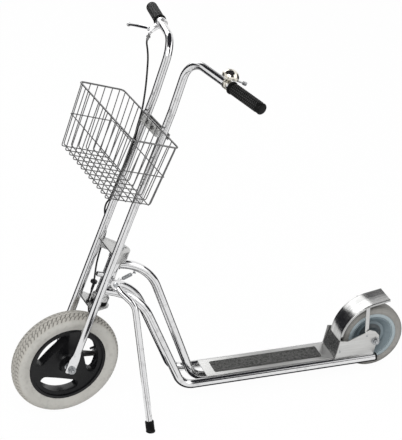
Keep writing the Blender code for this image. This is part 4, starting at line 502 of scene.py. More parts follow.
# Extrudes a flat outline of (x, y) along Z, or an upright one of (x, z) along Y.
def plate(name, outline, low, high, upright=False):
    thing = ringOf(name, [(a, low, b) if upright else (a, b, low) for a, b in outline], "NGON")
    rise = (0.0, high - low, 0.0) if upright else (0.0, 0.0, high - low)

    def extrude():
        bpy.ops.mesh.extrude_region_move(TRANSFORM_OT_translate={"value": rise})

    return editing(thing, extrude, closeUp)


def capEnds():
    bpy.ops.mesh.select_all(action="DESELECT")
    bpy.ops.mesh.select_mode(type="EDGE")
    bpy.ops.mesh.select_non_manifold()
    bpy.ops.mesh.fill_holes(sides=0)
    bpy.ops.mesh.select_mode(type="VERT")


# A grid bent so that each row follows one ring of points.
def loft(name, rings, capped=True, wrapped=False):
    rows = [list(ring) + [ring[0]] for ring in rings]
    if wrapped:
        rows.append(rows[0])
    wide, high = len(rows[0]) - 1, len(rows) - 1
    bpy.ops.object.select_all(action="DESELECT")
    bpy.ops.mesh.primitive_grid_add(x_subdivisions=wide, y_subdivisions=high, size=1.0)
    thing = start(name)
    for vertex in thing.data.vertices:
        column = round((vertex.co.x + 0.5) * wide)
        row = round((vertex.co.y + 0.5) * high)
        vertex.co = rows[row][column]
    steps = [lambda: bpy.ops.mesh.remove_doubles(threshold=0.000002)]
    if capped and not wrapped:
        steps.append(capEnds)
    return editing(thing, *steps, closeUp)


# Round bars along lines of points, as one mesh.
def wire(name, lines, radius, sides=16, looped=False, swell=None):
    bpy.ops.object.select_all(action="DESELECT")
    bpy.ops.curve.primitive_bezier_curve_add()
    thing = bpy.context.active_object
    path = thing.data
    path.splines.clear()
    path.dimensions = "3D"
    path.bevel_depth = radius
    path.bevel_resolution = (sides - 4) // 2
    path.use_fill_caps = not looped
    for line in lines:
        spline = path.splines.new("POLY")
        spline.points.add(len(line) - 1)
        for index, (point, spot) in enumerate(zip(spline.points, line)):
            point.co = (*spot, 1.0)
            if swell:
                point.radius = swell(index)
        spline.use_cyclic_u = looped
    only(thing)
    bpy.ops.object.convert(target="MESH")
    thing = start(name)
    return editing(thing, closeUp)


# Adds one modifier, sets it and applies it.
def modify(thing, kind, **settings):
    only(thing)
    bpy.ops.object.modifier_add(type=kind)
    modifier = thing.modifiers[-1]
    for key, value in settings.items():
        setattr(modifier, key, value)
    bpy.ops.object.modifier_apply(modifier=modifier.name)
    return thing


# Takes away the slivers that a Boolean can leave.
def mend():
    bpy.ops.mesh.dissolve_degenerate(threshold=0.00001)
    bpy.ops.mesh.delete_loose()


def boolean(thing, others, operation):
    for other in others:
        modify(thing, "BOOLEAN", operation=operation, object=other, solver="EXACT")
        bpy.data.objects.remove(other)
    return editing(thing, mend)


def carve(thing, *others):
    return boolean(thing, others, "DIFFERENCE")


def fuse(thing, *others):
    return boolean(thing, others, "UNION")


def bevelled(thing, width, segments=2, angle=32.0):
    return modify(thing, "BEVEL", width=width, segments=segments, limit_method="ANGLE",
                  angle_limit=math.radians(angle), harden_normals=False)


# Moves a piece to its place and applies it, so that its object stays at the origin.
def put(thing, place):
    only(thing)
    thing.matrix_world = place @ thing.matrix_world
    bpy.ops.object.transform_apply(location=True, rotation=True, scale=True)
    return thing


# A line of corners with each one replaced by an arc.
def rounded(corners, radii, steps=10, looped=False):
    corners = [Vector(corner) for corner in corners]
    line = []
    for index, (corner, radius) in enumerate(zip(corners, radii)):
        if not radius or (not looped and index in (0, len(corners) - 1)):
            line.append(corner)
            continue
        back = (corners[index - 1] - corner).normalized()
        ahead = (corners[(index + 1) % len(corners)] - corner).normalized()
        half = 0.5 * back.angle(ahead)
        middle = corner + (back + ahead).normalized() * radius / math.sin(half)
        first = corner + back * radius / math.tan(half) - middle
        last = corner + ahead * radius / math.tan(half) - middle
        for step in range(steps + 1):
            line.append(middle + first.slerp(last, step / steps).normalized() * radius)
    return line


def facing(direction):
    return Vector(direction).to_track_quat("Z", "Y").to_matrix().to_4x4()


# A place in a frame, with Z along a direction if one is given.
def at(base, spot, direction=None):
    place = base @ Matrix.Translation(spot)
    return place if direction is None else place @ facing(direction)


# Points of a circle, the first one a share of a step past the X axis.
def circle(count, radius=1.0, shift=0.0):
    angles = [math.tau * (k + shift) / count for k in range(count)]
    return [(radius * math.cos(angle), radius * math.sin(angle)) for angle in angles]


def squareOutline(half):
    return [(-half, -half), (half, -half), (half, half), (-half, half)]


def limited(value, low=0.0, high=1.0):
    return max(low, min(high, value))


# The other half of a turned profile.
def mirrored(half):
    return [(radius, -height) for radius, height in reversed(half)]


# A turned pin along Z with broken edges.
def rod(name, radius, low, high, sides=40, edge=0.0):
    if edge:
        side = [(radius - edge, low), (radius, low + edge), (radius, high - edge), (radius - edge, high)]
    else:
        side = [(radius, low), (radius, high)]
    return lathe(name, [(0.0, low), *side, (0.0, high)], sides)


# A bored hexagon with chamfered corners.
def hexNut(name, radius, low, high, bore):
    nut = plate(name, circle(6, radius, 0.13), low, high)
    wide, cut = radius * 1.02, radius * 0.10
    dome = lathe(name + "Dome", [(0.0, low), (radius * 0.90, low), (wide, low + cut), (wide, high - cut),
                                 (radius * 0.90, high), (0.0, high)], 48)
    modify(nut, "BOOLEAN", operation="INTERSECT", object=dome, solver="EXACT")
    bpy.data.objects.remove(dome)
    return carve(nut, rod(name + "Bore", bore, low - 0.01, high + 0.01, 32))


addCamera()
addStage()
print("stage: camera and studio set")


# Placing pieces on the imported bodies

def bodyOf(node):
    return frame["nodes"][node].parent.name.split(":")[1]


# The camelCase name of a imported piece.
def nameOf(node):
    first, *rest = node.split("_")
    return first + "".join(word.capitalize() for word in rest)


def shade(thing, finish, smooth):
    only(thing)
    bpy.ops.object.shade_smooth_by_angle(angle=math.radians(smooth))
    thing.data.materials.clear()
    thing.data.materials.append(finishes[finish])


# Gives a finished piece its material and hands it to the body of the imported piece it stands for.
def dress(thing, finish, node=None, body=None, smooth=35.0):
    shade(thing, finish, smooth)
    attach(thing, body or bodyOf(node))
    if node:
        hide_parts(node)


def settle(thing, place, finish, node=None, body=None, smooth=35.0):
    dress(put(thing, place), finish, node, body, smooth)


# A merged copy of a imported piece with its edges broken.
def machined(node, finish, bevel, segments=2, smooth=35.0):
    body = bodyOf(node)
    only(frame["nodes"][node])
    bpy.ops.object.duplicate()
    thing = start(nameOf(node))
    bpy.ops.object.parent_clear(type="CLEAR_KEEP_TRANSFORM")
    for key in list(thing.keys()):
        del thing[key]
    bpy.ops.object.transform_apply(location=True, rotation=True, scale=True)
    editing(thing, lambda: bpy.ops.mesh.remove_doubles(threshold=0.00001),
            lambda: bpy.ops.mesh.dissolve_limited(angle_limit=math.radians(0.6)))
    if bevel:
        bevelled(thing, bevel, segments)
    dress(thing, finish, node, body, smooth)


# Wheels

tyreWall = {"sweep": 96.0, "foot": 0.75, "bulge": 0.0035}
frontTyre = {"radius": 0.156, "seat": 0.1123, "width": 0.057, "foot": 0.021, "flat": 0.9, "around": 900,
             "across": 70, "blocks": 74, "depth": 0.0024, "slant": 2.42, "zigzag": 0.045, "shoulder": 0.60,
             "fade": 0.03, "rows": (-0.34, -0.10, 0.10, 0.34), "rowGroove": (0.030, 0.012),
             "slantGroove": (0.24, 0.10), "treadFoot": 0.140}


# (radius, side) on the tyre's outside, for a share of -1 to 1 from bead to bead.
def tyreSide(v, share):
    half = 0.5 * v["width"]
    middle = 0.5 * (v["radius"] + v["seat"])
    rise = v["radius"] - middle
    if abs(share) <= tyreWall["foot"]:
        angle = math.radians(tyreWall["sweep"] * share)
        lift = math.copysign(abs(math.cos(angle)) ** v["flat"], math.cos(angle))
        return middle + rise * lift, math.sin(angle) * half
    foot = (abs(share) - tyreWall["foot"]) / (1.0 - tyreWall["foot"])
    angle = math.radians(tyreWall["sweep"] * tyreWall["foot"])
    first, wide = middle + rise * math.cos(angle) ** v["flat"], math.sin(angle) * half
    bulge = tyreWall["bulge"] * math.sin(math.pi * foot)
    side = wide + (v["foot"] - wide) * foot * foot + bulge * (1.0 - foot)
    return first + (v["seat"] - first) * foot, math.copysign(min(side, half), share)


# 1 in the middle of a groove of that width and 0 outside it, for a distance from its centre line.
def groove(value, width, soft):
    return limited(0.5 - (abs(value) - 0.5 * width) / soft)


# Wavy blocks: two rows each side of the middle, cut by zigzag and slanted grooves.
def treadDepth(angle, share):
    v, out = frontTyre, abs(share)
    if out > v["shoulder"]:
        return 0.0
    phase = v["blocks"] * angle / math.tau
    wave = v["zigzag"] * (2.0 * abs(2.0 * (phase - math.floor(phase)) - 1.0) - 1.0)
    depth = max(groove(share - row - wave, *v["rowGroove"]) for row in v["rows"])
    if out > v["rows"][2]:
        slanted = phase + v["slant"] * out + (0.5 if abs(share - wave) > v["rows"][3] else 0.0)
        depth = max(depth, groove((slanted - math.floor(slanted)) - 0.5, *v["slantGroove"]))
    return depth * limited((v["shoulder"] - out) / v["fade"])


def makeFrontTyre():
    v = frontTyre
    rings = []
    for turn in range(v["around"]):
        angle = math.tau * turn / v["around"]
        ring = []
        for step in range(v["across"] + 1):
            share = -1.0 + 2.0 * step / v["across"]
            reach, side = tyreSide(v, share)
            reach -= v["depth"] * treadDepth(angle, share)
            ring.append((reach * math.cos(angle), side, reach * math.sin(angle)))
        rings.append(ring)
    tyre = loft("frontTyre", rings, wrapped=True)
    # Depth share of the tread grooves, read by the tyre's material as painted shade in the grooves.
    wearAndGrooveShade = tyre.data.attributes.new("groove", "FLOAT", "POINT")
    for vertex, entry in zip(tyre.data.vertices, wearAndGrooveShade.data):
        share = math.asin(limited(2.0 * vertex.co.y / v["width"], -1.0)) / math.radians(tyreWall["sweep"])
        reach = math.hypot(vertex.co.x, vertex.co.z)
        cut = limited((tyreSide(v, share)[0] - reach) / v["depth"])
        entry.value = cut if abs(share) < v["shoulder"] + 0.01 and reach > v["treadFoot"] else 0.0
    settle(tyre, frontHub, "paleTyre", "front_tyre", smooth=40.0)


rearTyre = {"radius": 0.100, "seat": 0.0763, "width": 0.050, "foot": 0.022, "flat": 0.55, "across": 40,
            "lines": (7, 33), "lineDepth": 0.0006}


def makeRearTyre():
    v = rearTyre
    profile = []
    for step in range(v["across"] + 1):
        reach, side = tyreSide(v, -1.0 + 2.0 * step / v["across"])
        profile.append((reach - v["lineDepth"] if step in v["lines"] else reach, side))
    tyre = lathe("rearTyre", profile, 144)
    settle(tyre, rearHub @ toLeft, "greyTyre", "rear_tyre", smooth=45.0)


frontRim = {"radius": 0.112, "edge": 0.021, "lip": 0.009, "web": 0.013, "window": 0.0930, "chord": 0.0525,
            "hub": 0.024, "hubOut": 0.030, "bore": 0.0133, "pocket": 0.0418, "deep": -0.0017, "face": 0.024,
            "turns": (30.0, 150.0, 270.0), "corner": 0.013, "cornerReach": 0.36}
valve = {"turn": 144.0, "profile": [(0.0, 0.0), (0.0040, 0.0), (0.0040, 0.002), (0.0029, 0.004),
                                    (0.0029, 0.010), (0.0033, 0.0103), (0.0033, 0.0165), (0.0024, 0.018),
                                    (0.0, 0.018)]}


def makeFrontRim():
    v = frontRim
    inside = v["radius"] - v["lip"]
    profile = [(v["bore"], v["deep"]), (v["pocket"], v["deep"]), (v["pocket"], -v["face"]),
               (v["pocket"] + 0.004, -v["face"]), (inside, -v["web"] - 0.002), (inside + 0.001, -v["edge"]),
               (v["radius"], -v["edge"]), (v["radius"], v["edge"]), (inside + 0.001, v["edge"]),
               (inside, v["web"] + 0.002), (0.046, v["web"] - 0.004), (v["hub"] + 0.004, v["web"]),
               (v["hub"], v["web"] + 0.004), (v["hub"] - 0.002, v["hubOut"]), (v["bore"], v["hubOut"])]
    rim = lathe("frontRim", profile, 144)
    put(rim, toLeft)
    half = math.acos(v["chord"] / v["window"])
    cutters = []
    for index, turn in enumerate(v["turns"]):
        middle = math.radians(turn)
        inner = half - v["cornerReach"]
        arc = [-half] + [inner * (step / 10 - 1.0) for step in range(21)] + [half]
        corners = [(math.cos(middle + a) * v["window"], math.sin(middle + a) * v["window"], 0.0) for a in arc]
        line = rounded(corners, [v["corner"]] + [0.0] * 21 + [v["corner"]], 8, looped=True)
        outline = [(spot.x, spot.y) for spot in line]
        cutters.append(plate(f"rimWindow{index}", outline, -0.04, 0.04, upright=True))
    carve(rim, *cutters)
    editing(rim, lambda: bpy.ops.mesh.dissolve_limited(angle_limit=math.radians(0.3)))
    bevelled(rim, 0.0011, 3, 28.0)
    settle(rim, frontHub, "blackPlastic", "front_rim", smooth=30.0)
    angle = math.radians(valve["turn"])
    stem = lathe("valveStem", valve["profile"], 32)
    inward = Vector((-math.cos(angle), 0.0, -math.sin(angle)))
    settle(stem, at(frontHub, -inward * (v["window"] + 0.001), inward), "blackRubber",
           body=bodyOf("front_rim"))


rearRim = {"radius": 0.076, "edge": 0.022, "web": 0.007, "hub": 0.021, "hubHalf": 0.028, "bore": 0.0133}


def makeRearRim():
    v = rearRim
    reach, edge, web, hub = v["radius"], v["edge"], v["web"], v["hub"]
    half = [(reach, edge), (reach - 0.010, edge), (reach - 0.0108, edge - 0.0045),
            (reach - 0.0125, edge - 0.0045), (reach - 0.0140, edge - 0.0020), (reach - 0.0165, edge - 0.0030),
            (reach - 0.030, web + 0.003), (reach - 0.0315, web), (hub + 0.013, web),
            (hub + 0.004, web + 0.005), (hub - 0.001, v["hubHalf"]), (v["bore"], v["hubHalf"])]
    rim = lathe("rearRim", half + mirrored(half), 128)
    bevelled(rim, 0.0008, 3, 20.0)
    settle(rim, rearHub @ toLeft, "bluePlastic", "rear_rim", smooth=30.0)


bearing = {"radius": 0.013, "width": 0.009, "bore": 0.0053, "shield": 0.0112, "race": 0.0078, "sunk": 0.0008}


# Rings with a recessed shield between them; out is how far its outer face is from the hub's middle.
def makeBearing(node, hub, side, out):
    v = bearing
    low = out - v["width"] if side > 0.0 else -out
    high = low + v["width"]
    deep, proud = low + v["sunk"], high - v["sunk"]
    profile = [(v["bore"], low), (v["race"], low), (v["race"], deep), (v["shield"], deep), (v["shield"], low),
               (v["radius"], low), (v["radius"], high), (v["shield"], high), (v["shield"], proud),
               (v["race"], proud), (v["race"], high), (v["bore"], high)]
    ring = lathe(nameOf(node), profile, 64)
    settle(ring, hub @ toLeft, "steel", node)


axleEnd = {"radius": 0.005, "shoulder": 0.008, "nut": 0.0095, "nutHeight": 0.0075, "tail": 0.004,
           "washer": 0.0120, "rings": 6, "groove": 0.0004}


# Axle with shoulders and threaded ends, and a chamfered nut on each end; wheel is front or rear.
def makeAxle(wheel, hub, hubOut, inside, outside):
    v = axleEnd
    low = outside + gap
    top = low + v["nutHeight"] + v["tail"]
    shoulder, stop = hubOut + gap, inside - gap
    half = [(v["shoulder"], shoulder), (v["shoulder"], stop), (v["radius"], stop), (v["radius"], low)]
    pitch = (top - 0.001 - outside - gap) / v["rings"]
    for index in range(v["rings"]):
        level = low + index * pitch
        half += [(v["radius"] - v["groove"], level + 0.5 * pitch), (v["radius"], level + pitch)]
    half += [(v["radius"] - 0.001, top)]
    profile = [(0.0, -top)] + mirrored(half) + [(v["radius"], -shoulder), (v["radius"], shoulder)] + half
    axle = lathe(wheel + "Axle", profile + [(0.0, top)], 48)
    settle(axle, hub @ toLeft, "steel", wheel + "_axle")
    inner, wide = 0.7 * v["nut"], v["washer"]
    ring = [(inner, low + 0.0003), (wide, low + 0.0003), (wide, low + 0.0011), (wide - 0.0012, low + 0.0018),
            (inner, low + 0.0018)]
    for side, turn in (("left", toLeft), ("right", toRight)):
        name = wheel + "AxleNut" + side.capitalize()
        nut = hexNut(name, v["nut"], low + 0.0004, low + v["nutHeight"], v["radius"] + 0.0002)
        fuse(nut, lathe(name + "Flange", ring, 56))
        settle(nut, hub @ turn, "steel", f"{wheel}_nut_{side}", smooth=30.0)


makeFrontTyre()
makeRearTyre()
makeFrontRim()
makeRearRim()
makeBearing("front_bearing_left", frontHub, 1.0, 0.030)
makeBearing("front_bearing_right", frontHub, -1.0, 0.002)
makeBearing("rear_bearing_left", rearHub, 1.0, 0.028)
makeBearing("rear_bearing_right", rearHub, -1.0, 0.028)
makeAxle("front", frontHub, 0.030, 0.0454, 0.0506)
makeAxle("rear", rearHub, 0.028, 0.0451, 0.0481)
machined("brake_drum", "steel", 0.0004)
print("stage: wheels")


# Steering tubes, yokes and grips

bothSides = (("left", 1.0), ("right", -1.0))
fork = {"radius": 0.011, "sides": 40, "forward": 0.038, "side": 0.054, "neck": 0.062, "sway": 0.800,
        "rake": 0.0314, "bend": 0.056, "corner": (0.046, 0.054, 0.949), "tip": (-0.0238, 0.331, 0.947)}
dropout = {"side": 0.048, "forward": 0.0345, "width": 0.029, "thick": 0.0052, "top": 0.030, "tail": 0.011,
           "slot": 0.0053}


# Cross-section of a steering tube, from round (0) to flat with rounded corners (1).
def flattened(level, forward, side, deep, slim, square):
    ring = []
    for along, across in circle(fork["sides"], 1.0, 0.5):
        flatAlong = limited(1.25 * along, -1.0)
        flatAcross = limited(1.6 * across, -1.0)
        along += (flatAlong - along) * square
        across += (flatAcross - across) * square
        ring.append(Vector((forward + deep * along, side + slim * across, level)))
    return ring


def makeSteeringTube(node, side):
    name = nameOf(node)
    v, d = fork, dropout
    thin, wide = 0.5 * d["thick"], 0.5 * d["width"]
    rows = [(-d["tail"], d["forward"], d["side"], wide - 0.004, thin - 0.0003, 1.0),
            (0.0015 - d["tail"], d["forward"], d["side"], wide - 0.0015, thin, 1.0),
            (0.004 - d["tail"], d["forward"], d["side"], wide, thin, 1.0),
            (0.0, d["forward"], d["side"], wide, thin, 1.0),
            (d["top"], d["forward"], d["side"], wide, thin, 1.0)]
    for step in range(1, 13):
        share = step / 12
        ease = share - 0.05 * math.sin(math.tau * share)
        rows.append((d["top"] + share * (v["neck"] - d["top"]),
                     d["forward"] + ease * (v["forward"] - d["forward"]),
                     d["side"] + ease * (v["side"] - d["side"]), wide + ease * (v["radius"] - wide),
                     thin + ease * (v["radius"] - thin), 1.0 - ease))
    rings = [flattened(*row) for row in rows]
    line = rounded([(v["forward"], v["side"], v["sway"] - 0.02), (v["forward"], v["side"], v["sway"]),
                    v["corner"], v["tip"]], [0.0, 0.0, v["bend"], 0.0], 22)
    across = Vector((1.0, 0.0, 0.0))
    for index, point in enumerate(line[1:], 1):
        into = (point - line[index - 1]).normalized()
        out = (line[index + 1] - point).normalized() if index + 1 < len(line) else into
        along = (into + out).normalized()
        across = (across - along * across.dot(along)).normalized()
        third = along.cross(across)
        turned = circle(v["sides"], 1.0, 0.5)
        rings.append([point + (across * a + third * b) * v["radius"] for a, b in turned])
    tube = loft(name, [[Vector((spot.x, side * spot.y, spot.z)) for spot in ring] for ring in rings])
    arch = [math.pi * step / 24 for step in range(25)]
    outline = [(v["rake"] + d["slot"] * math.cos(a), d["slot"] * math.sin(a)) for a in arch]
    outline += [(v["rake"] - d["slot"], -0.03), (v["rake"] + d["slot"], -0.03)]
    middle = side * d["side"]
    carve(tube, plate(name + "Mouth", outline, middle - 0.02, middle + 0.02, upright=True))
    settle(tube, steeringFrame, "brightZinc", node, smooth=40.0)


grip = {"length": 0.118, "radius": 0.0155, "end": 0.003, "collar": 0.0172, "collarWidth": 0.005,
        "bore": 0.0113, "rows": 14, "dash": 0.0062, "relief": 0.0010, "along": 236, "around": 120,
        "round": 0.0012, "nose": 0.005, "noseDrop": 0.0048, "noseStep": 0.0002, "plain": (0.006, 0.010),
        "ribAcross": (0.36, 0.06), "ribAlong": (0.30, 0.08), "pinhole": 0.0001, "highlightGain": 1.4,
        "highlightPast": (0.003, 0.006)}


# Place on the bar at a distance from its tip, and the outward direction there.
def onBar(side, fromTip):
    outward = (Vector(fork["tip"]) - Vector(fork["corner"])).normalized()
    spot = Vector(fork["tip"]) - outward * fromTip
    flip = Vector((1.0, side, 1.0))
    return spot * flip, outward * flip


# 1 in the middle of each step of 1 up to a half width, and 0 past a soft edge.
def rib(value, half, soft):
    return limited((half - abs(value - math.floor(value) - 0.5)) / soft)


# Outside of the grip, with rows of short ribs along its middle.
def gripRadius(level, angle):
    v = grip
    collarTop = v["collarWidth"] - v["length"]
    if level < collarTop:
        edge = min(level + v["length"], collarTop - level, v["round"]) / v["round"]
        return v["collar"] - v["round"] * (1.0 - math.sqrt(max(0.0, 1.0 - (1.0 - edge) ** 2)))
    if level > v["end"] - v["nose"]:
        share = min(1.0, (level - v["end"] + v["nose"]) / v["nose"])
        drop = v["noseDrop"] * (1.0 - math.sqrt(max(0.0, 1.0 - share * share)))
        return v["radius"] - drop - v["noseStep"]
    radius = v["radius"] - v["relief"]
    if collarTop + v["plain"][0] < level < -v["plain"][1]:
        around = v["rows"] * angle / math.tau
        along = (level + 1.0) / v["dash"] + 0.5 * (math.floor(around) % 2)
        radius += v["relief"] * rib(around, *v["ribAcross"]) * rib(along, *v["ribAlong"])
    return radius


def makeGrip(node, side):
    v = grip
    tip, outward = onBar(side, 0.0)
    rings = [[(x, y, v["end"]) for x, y in circle(v["around"], v["pinhole"])]]
    for step in range(v["along"] + 1):
        level = v["end"] + (-v["length"] - v["end"]) * step / v["along"]
        ring = []
        for k in range(v["around"]):
            angle = math.tau * k / v["around"]
            radius = gripRadius(level, angle)
            ring.append((radius * math.cos(angle), radius * math.sin(angle), level))
        rings.append(ring)
    for radius, level in ((v["bore"], -v["length"]), (v["bore"], gap), (v["pinhole"], gap)):
        rings.append([(x, y, level) for x, y in circle(v["around"], radius)])
    sleeve = loft(nameOf(node), rings)
    # How far each rib stands proud, read by the grip material as a painted highlight on the rib tops.
    raised = sleeve.data.attributes.new("raised", "FLOAT", "POINT")
    for vertex, entry in zip(sleeve.data.vertices, raised.data):
        proud = (math.hypot(vertex.co.x, vertex.co.y) - v["radius"] + v["relief"]) / v["relief"]
        low, high = v["collarWidth"] - v["length"] + v["highlightPast"][0], -v["highlightPast"][1]
        entry.value = limited(v["highlightGain"] * proud) if low < vertex.co.z < high else 0.0
    settle(sleeve, at(steeringFrame, tip, outward), "blackRubber", node, smooth=50.0)


for label, side in bothSides:
    makeSteeringTube("steering_tube_" + label, side)
    makeGrip("grip_" + label, side)
machined("upper_yoke", "zincSheet", 0.0009, 3)
machined("lower_yoke", "zincSheet", 0.0008, 3)
machined("steering_stem", "steel", 0.0005)
machined("stem_nut", "steel", 0.0005)
machined("cable_clip", "blackPlastic", 0.0006)
print("stage: steering tubes")


# Brake, lever, cable and bell

machined("brake_plate", "zincSheet", 0.0005)
for node in ("brake_arm", "brake_shoe_upper", "brake_shoe_lower"):
    machined(node, "steel", 0.0004)

lever = {"fromTip": 0.140, "down": 46.0, "clamp": 0.015, "clampHalf": 0.0078, "bore": 0.0112,
         "pivot": (-0.004, 0.036), "armIn": 0.0046, "armOut": 0.0068, "armRadius": 0.0060, "web": 0.0245,
         "lug": (-0.015, 0.038), "barrel": 0.0037, "barrelLength": 0.024, "knurl": 0.0058, "hose": 0.0028,
         "webHalf": 0.0068, "webLow": 0.010, "webTaper": 0.0008, "armFoot": (0.0066, 0.012),
         "lugHalf": 0.0040, "rings": 7, "pitch": 0.0015,
         "hook": [(-0.0062, 0.014), (-0.0062, 0.0245), (-0.0108, 0.0430), (-0.0192, 0.0430),
                  (-0.0192, 0.0335)],
         "rivet": [(0.0027, 0.0), (0.0027, 0.0070), (0.0044, 0.0071), (0.0042, 0.0082), (0.0030, 0.0090),
                   (0.0, 0.0092)]}


def makeLeverBracket():
    v = lever
    place, outward = onBar(-1.0, v["fromTip"])
    down = Vector((math.cos(math.radians(v["down"])), 0.0, -math.sin(math.radians(v["down"]))))
    down = (down - outward * down.dot(outward)).normalized()
    third = outward.cross(down)
    turn = Matrix((outward, down, third)).transposed()
    mount = at(steeringFrame, place) @ turn.to_4x4()
    alongBar = facing((1.0, 0.0, 0.0))
    bracket = rod("leverBracket", v["clamp"], -v["clampHalf"], v["clampHalf"], 64, 0.0008)
    put(bracket, alongBar)
    wide, low, taper, inside = v["webHalf"], v["webLow"], v["webTaper"], v["armOut"] - 0.0001
    web = plate("leverWeb", [(-wide, low), (wide, low), (wide - taper, v["web"]), (taper - wide, v["web"])],
                -inside, inside)
    x, y = v["pivot"]
    arch = [math.pi * k / 12 for k in range(13)]
    half, foot = v["armFoot"]
    outline = [(-half, foot), (half, foot)]
    outline += [(x + v["armRadius"] * math.cos(a), y + v["armRadius"] * math.sin(a)) for a in arch]
    arms = [plate("leverArm" + side, outline, low, low + v["armOut"] - v["armIn"])
            for side, low in (("Upper", v["armIn"]), ("Lower", -v["armOut"]))]
    lug = plate("leverLug", v["hook"], -v["lugHalf"], v["lugHalf"])
    fuse(bracket, web, *arms, lug)
    room = rod("barRoom", v["bore"], -0.02, 0.02, 72)
    put(room, alongBar)
    carve(bracket, room)
    bevelled(bracket, 0.0005, 2)
    settle(bracket, mount, "brightZinc", "lever_bracket")
    body = bodyOf("lever_bracket")
    rivet = lathe("leverRivet", mirrored(v["rivet"]) + v["rivet"][1:], 48)
    settle(rivet, at(mount, (x, y, 0.0)), "steel", body=body, smooth=50.0)
    below = Vector((0.0, 0.0, -1.0))
    drop = Vector((below.dot(outward), below.dot(down), below.dot(third)))
    thin, thick, top = v["barrel"], v["knurl"], v["barrelLength"]
    profile = [(0.0, -0.003), (thin - 0.0006, -0.003), (thin, -0.0024)]
    for index in range(v["rings"]):
        level = 0.0005 + v["pitch"] * index
        profile += [(thin, level), (thin - 0.0004, level + 0.0005), (thin, level + 0.0010)]
    profile += [(thin, 0.0120), (thick - 0.0005, 0.0120), (thick, 0.0125), (thick, 0.0155),
                (thick - 0.0005, 0.0160), (thin, 0.0160), (thin, top - 0.001), (thin - 0.0005, top),
                (v["hose"], top), (v["hose"], 0.0138), (0.0, 0.0138)]
    barrel = lathe("cableAdjuster", profile, 48)
    settle(barrel, at(mount, (*v["lug"], 0.0), drop), "darkSteel", body=body)


makeLeverBracket()
machined("brake_lever", "brightZinc", 0.0, smooth=60.0)

cable = {"radius": 0.0025, "sides": 16, "spacing": 0.006, "start": (0.039285, -0.186855, 0.906027),
         "clip": (0.037, -0.001, 0.254), "hole": (0.010, -0.036), "yokeTop": 0.197,
         "end": (-0.0656, -0.034, 0.0143), "stopHeight": 0.014, "ferrule": 0.0034, "ferruleLength": 0.011}


# Points at an even spacing along a smooth curve through the given ones.
def smoothLine(points, spacing):
    points = [Vector(point) for point in points]
    padded = [points[0] * 2.0 - points[1]] + points + [points[-1] * 2.0 - points[-2]]
    fine = []
    for first, begin, stop, last in zip(padded, padded[1:], padded[2:], padded[3:]):
        for step in range(40):
            t = step / 40.0
            pull = begin * 2.0 + (stop - first) * t + (first * 2.0 - begin * 5.0 + stop * 4.0 - last) * t * t
            fine.append((pull + (begin * 3.0 - first - stop * 3.0 + last) * t * t * t) * 0.5)
    fine.append(points[-1])
    total = sum((after - before).length for before, after in zip(fine, fine[1:]))
    count = max(2, round(total / spacing))
    line = [fine[0]]
    walked = 0.0
    for before, after in zip(fine, fine[1:]):
        walked += (after - before).length
        if walked >= total * len(line) / count and len(line) < count:
            line.append(after)
    return line + [fine[-1]]


def makeCable():
    v = cable
    begin, clip, end = Vector(v["start"]), Vector(v["clip"]), Vector(v["end"])
    route = [begin, begin + Vector((0.0, 0.0, -0.011)), (0.0393, -0.1825, 0.8885), (0.0400, -0.168, 0.8785),
             (0.0425, -0.149, 0.866), (0.047, -0.126, 0.848), (0.050, -0.091, 0.800),
             (0.0512, -0.0660, 0.748), (0.0515, -0.0570, 0.703), (0.0520, -0.0480, 0.655),
             (0.0525, -0.0490, 0.566), (0.0528, -0.0530, 0.486), (0.0515, -0.0625, 0.462),
             (0.0440, -0.0700, 0.438), (0.0300, -0.0686, 0.408), (0.0220, -0.0610, 0.380),
             (0.0225, -0.0560, 0.350), (0.0250, -0.0480, 0.322), (0.0330, -0.0280, 0.296),
             clip + Vector((0.001, -0.005, 0.015)), clip, clip + Vector((-0.0015, -0.001, -0.013)),
             (0.0290, -0.0110, 0.226), (0.0150, -0.0300, 0.208), (*v["hole"], v["yokeTop"]),
             (0.002, -0.0370, 0.160), (-0.022, -0.0365, 0.110), (-0.055, -0.0350, 0.060),
             end + Vector((0.0, 0.0, v["stopHeight"] + 0.004)), end]
    line = [steeringFrame @ spot for spot in smoothLine(route, v["spacing"])]
    sheath = wire("brakeCable", [line], v["radius"], v["sides"])
    dress(sheath, "cableSheath", "brake_cable", smooth=50.0)
    length = sum((after - before).length for before, after in zip(line, line[1:]))
    inner, ring, tall = v["radius"] + 0.0001, v["ferrule"], v["ferruleLength"]
    sleeve = lathe("cableFerrule", [(inner, 0.0), (ring, 0.0), (ring, 0.0085), (ring - 0.0006, tall),
                                    (inner, tall)], 32)
    settle(sleeve, at(steeringFrame, end + Vector((0.0, 0.0, v["stopHeight"] - 0.0035))), "steel",
           body=bodyOf("brake_cable"))


bell = {"fromTip": 0.135, "radius": 0.0225, "height": 0.018, "wall": 0.0012, "domeLow": 0.0228,
        "base": 0.0195, "lever": 0.0025, "pivot": (0.012, 0.011), "knob": (0.0276, 0.0282),
        "knobRadius": 0.006, "teeth": 18, "toothDepth": 0.0006, "steps": 20, "tail": 0.0045, "hole": 0.0023,
        "armHalf": 0.003, "tailSweep": (75.0, 210.0), "knobUnder": 0.005, "knobOver": 0.003}


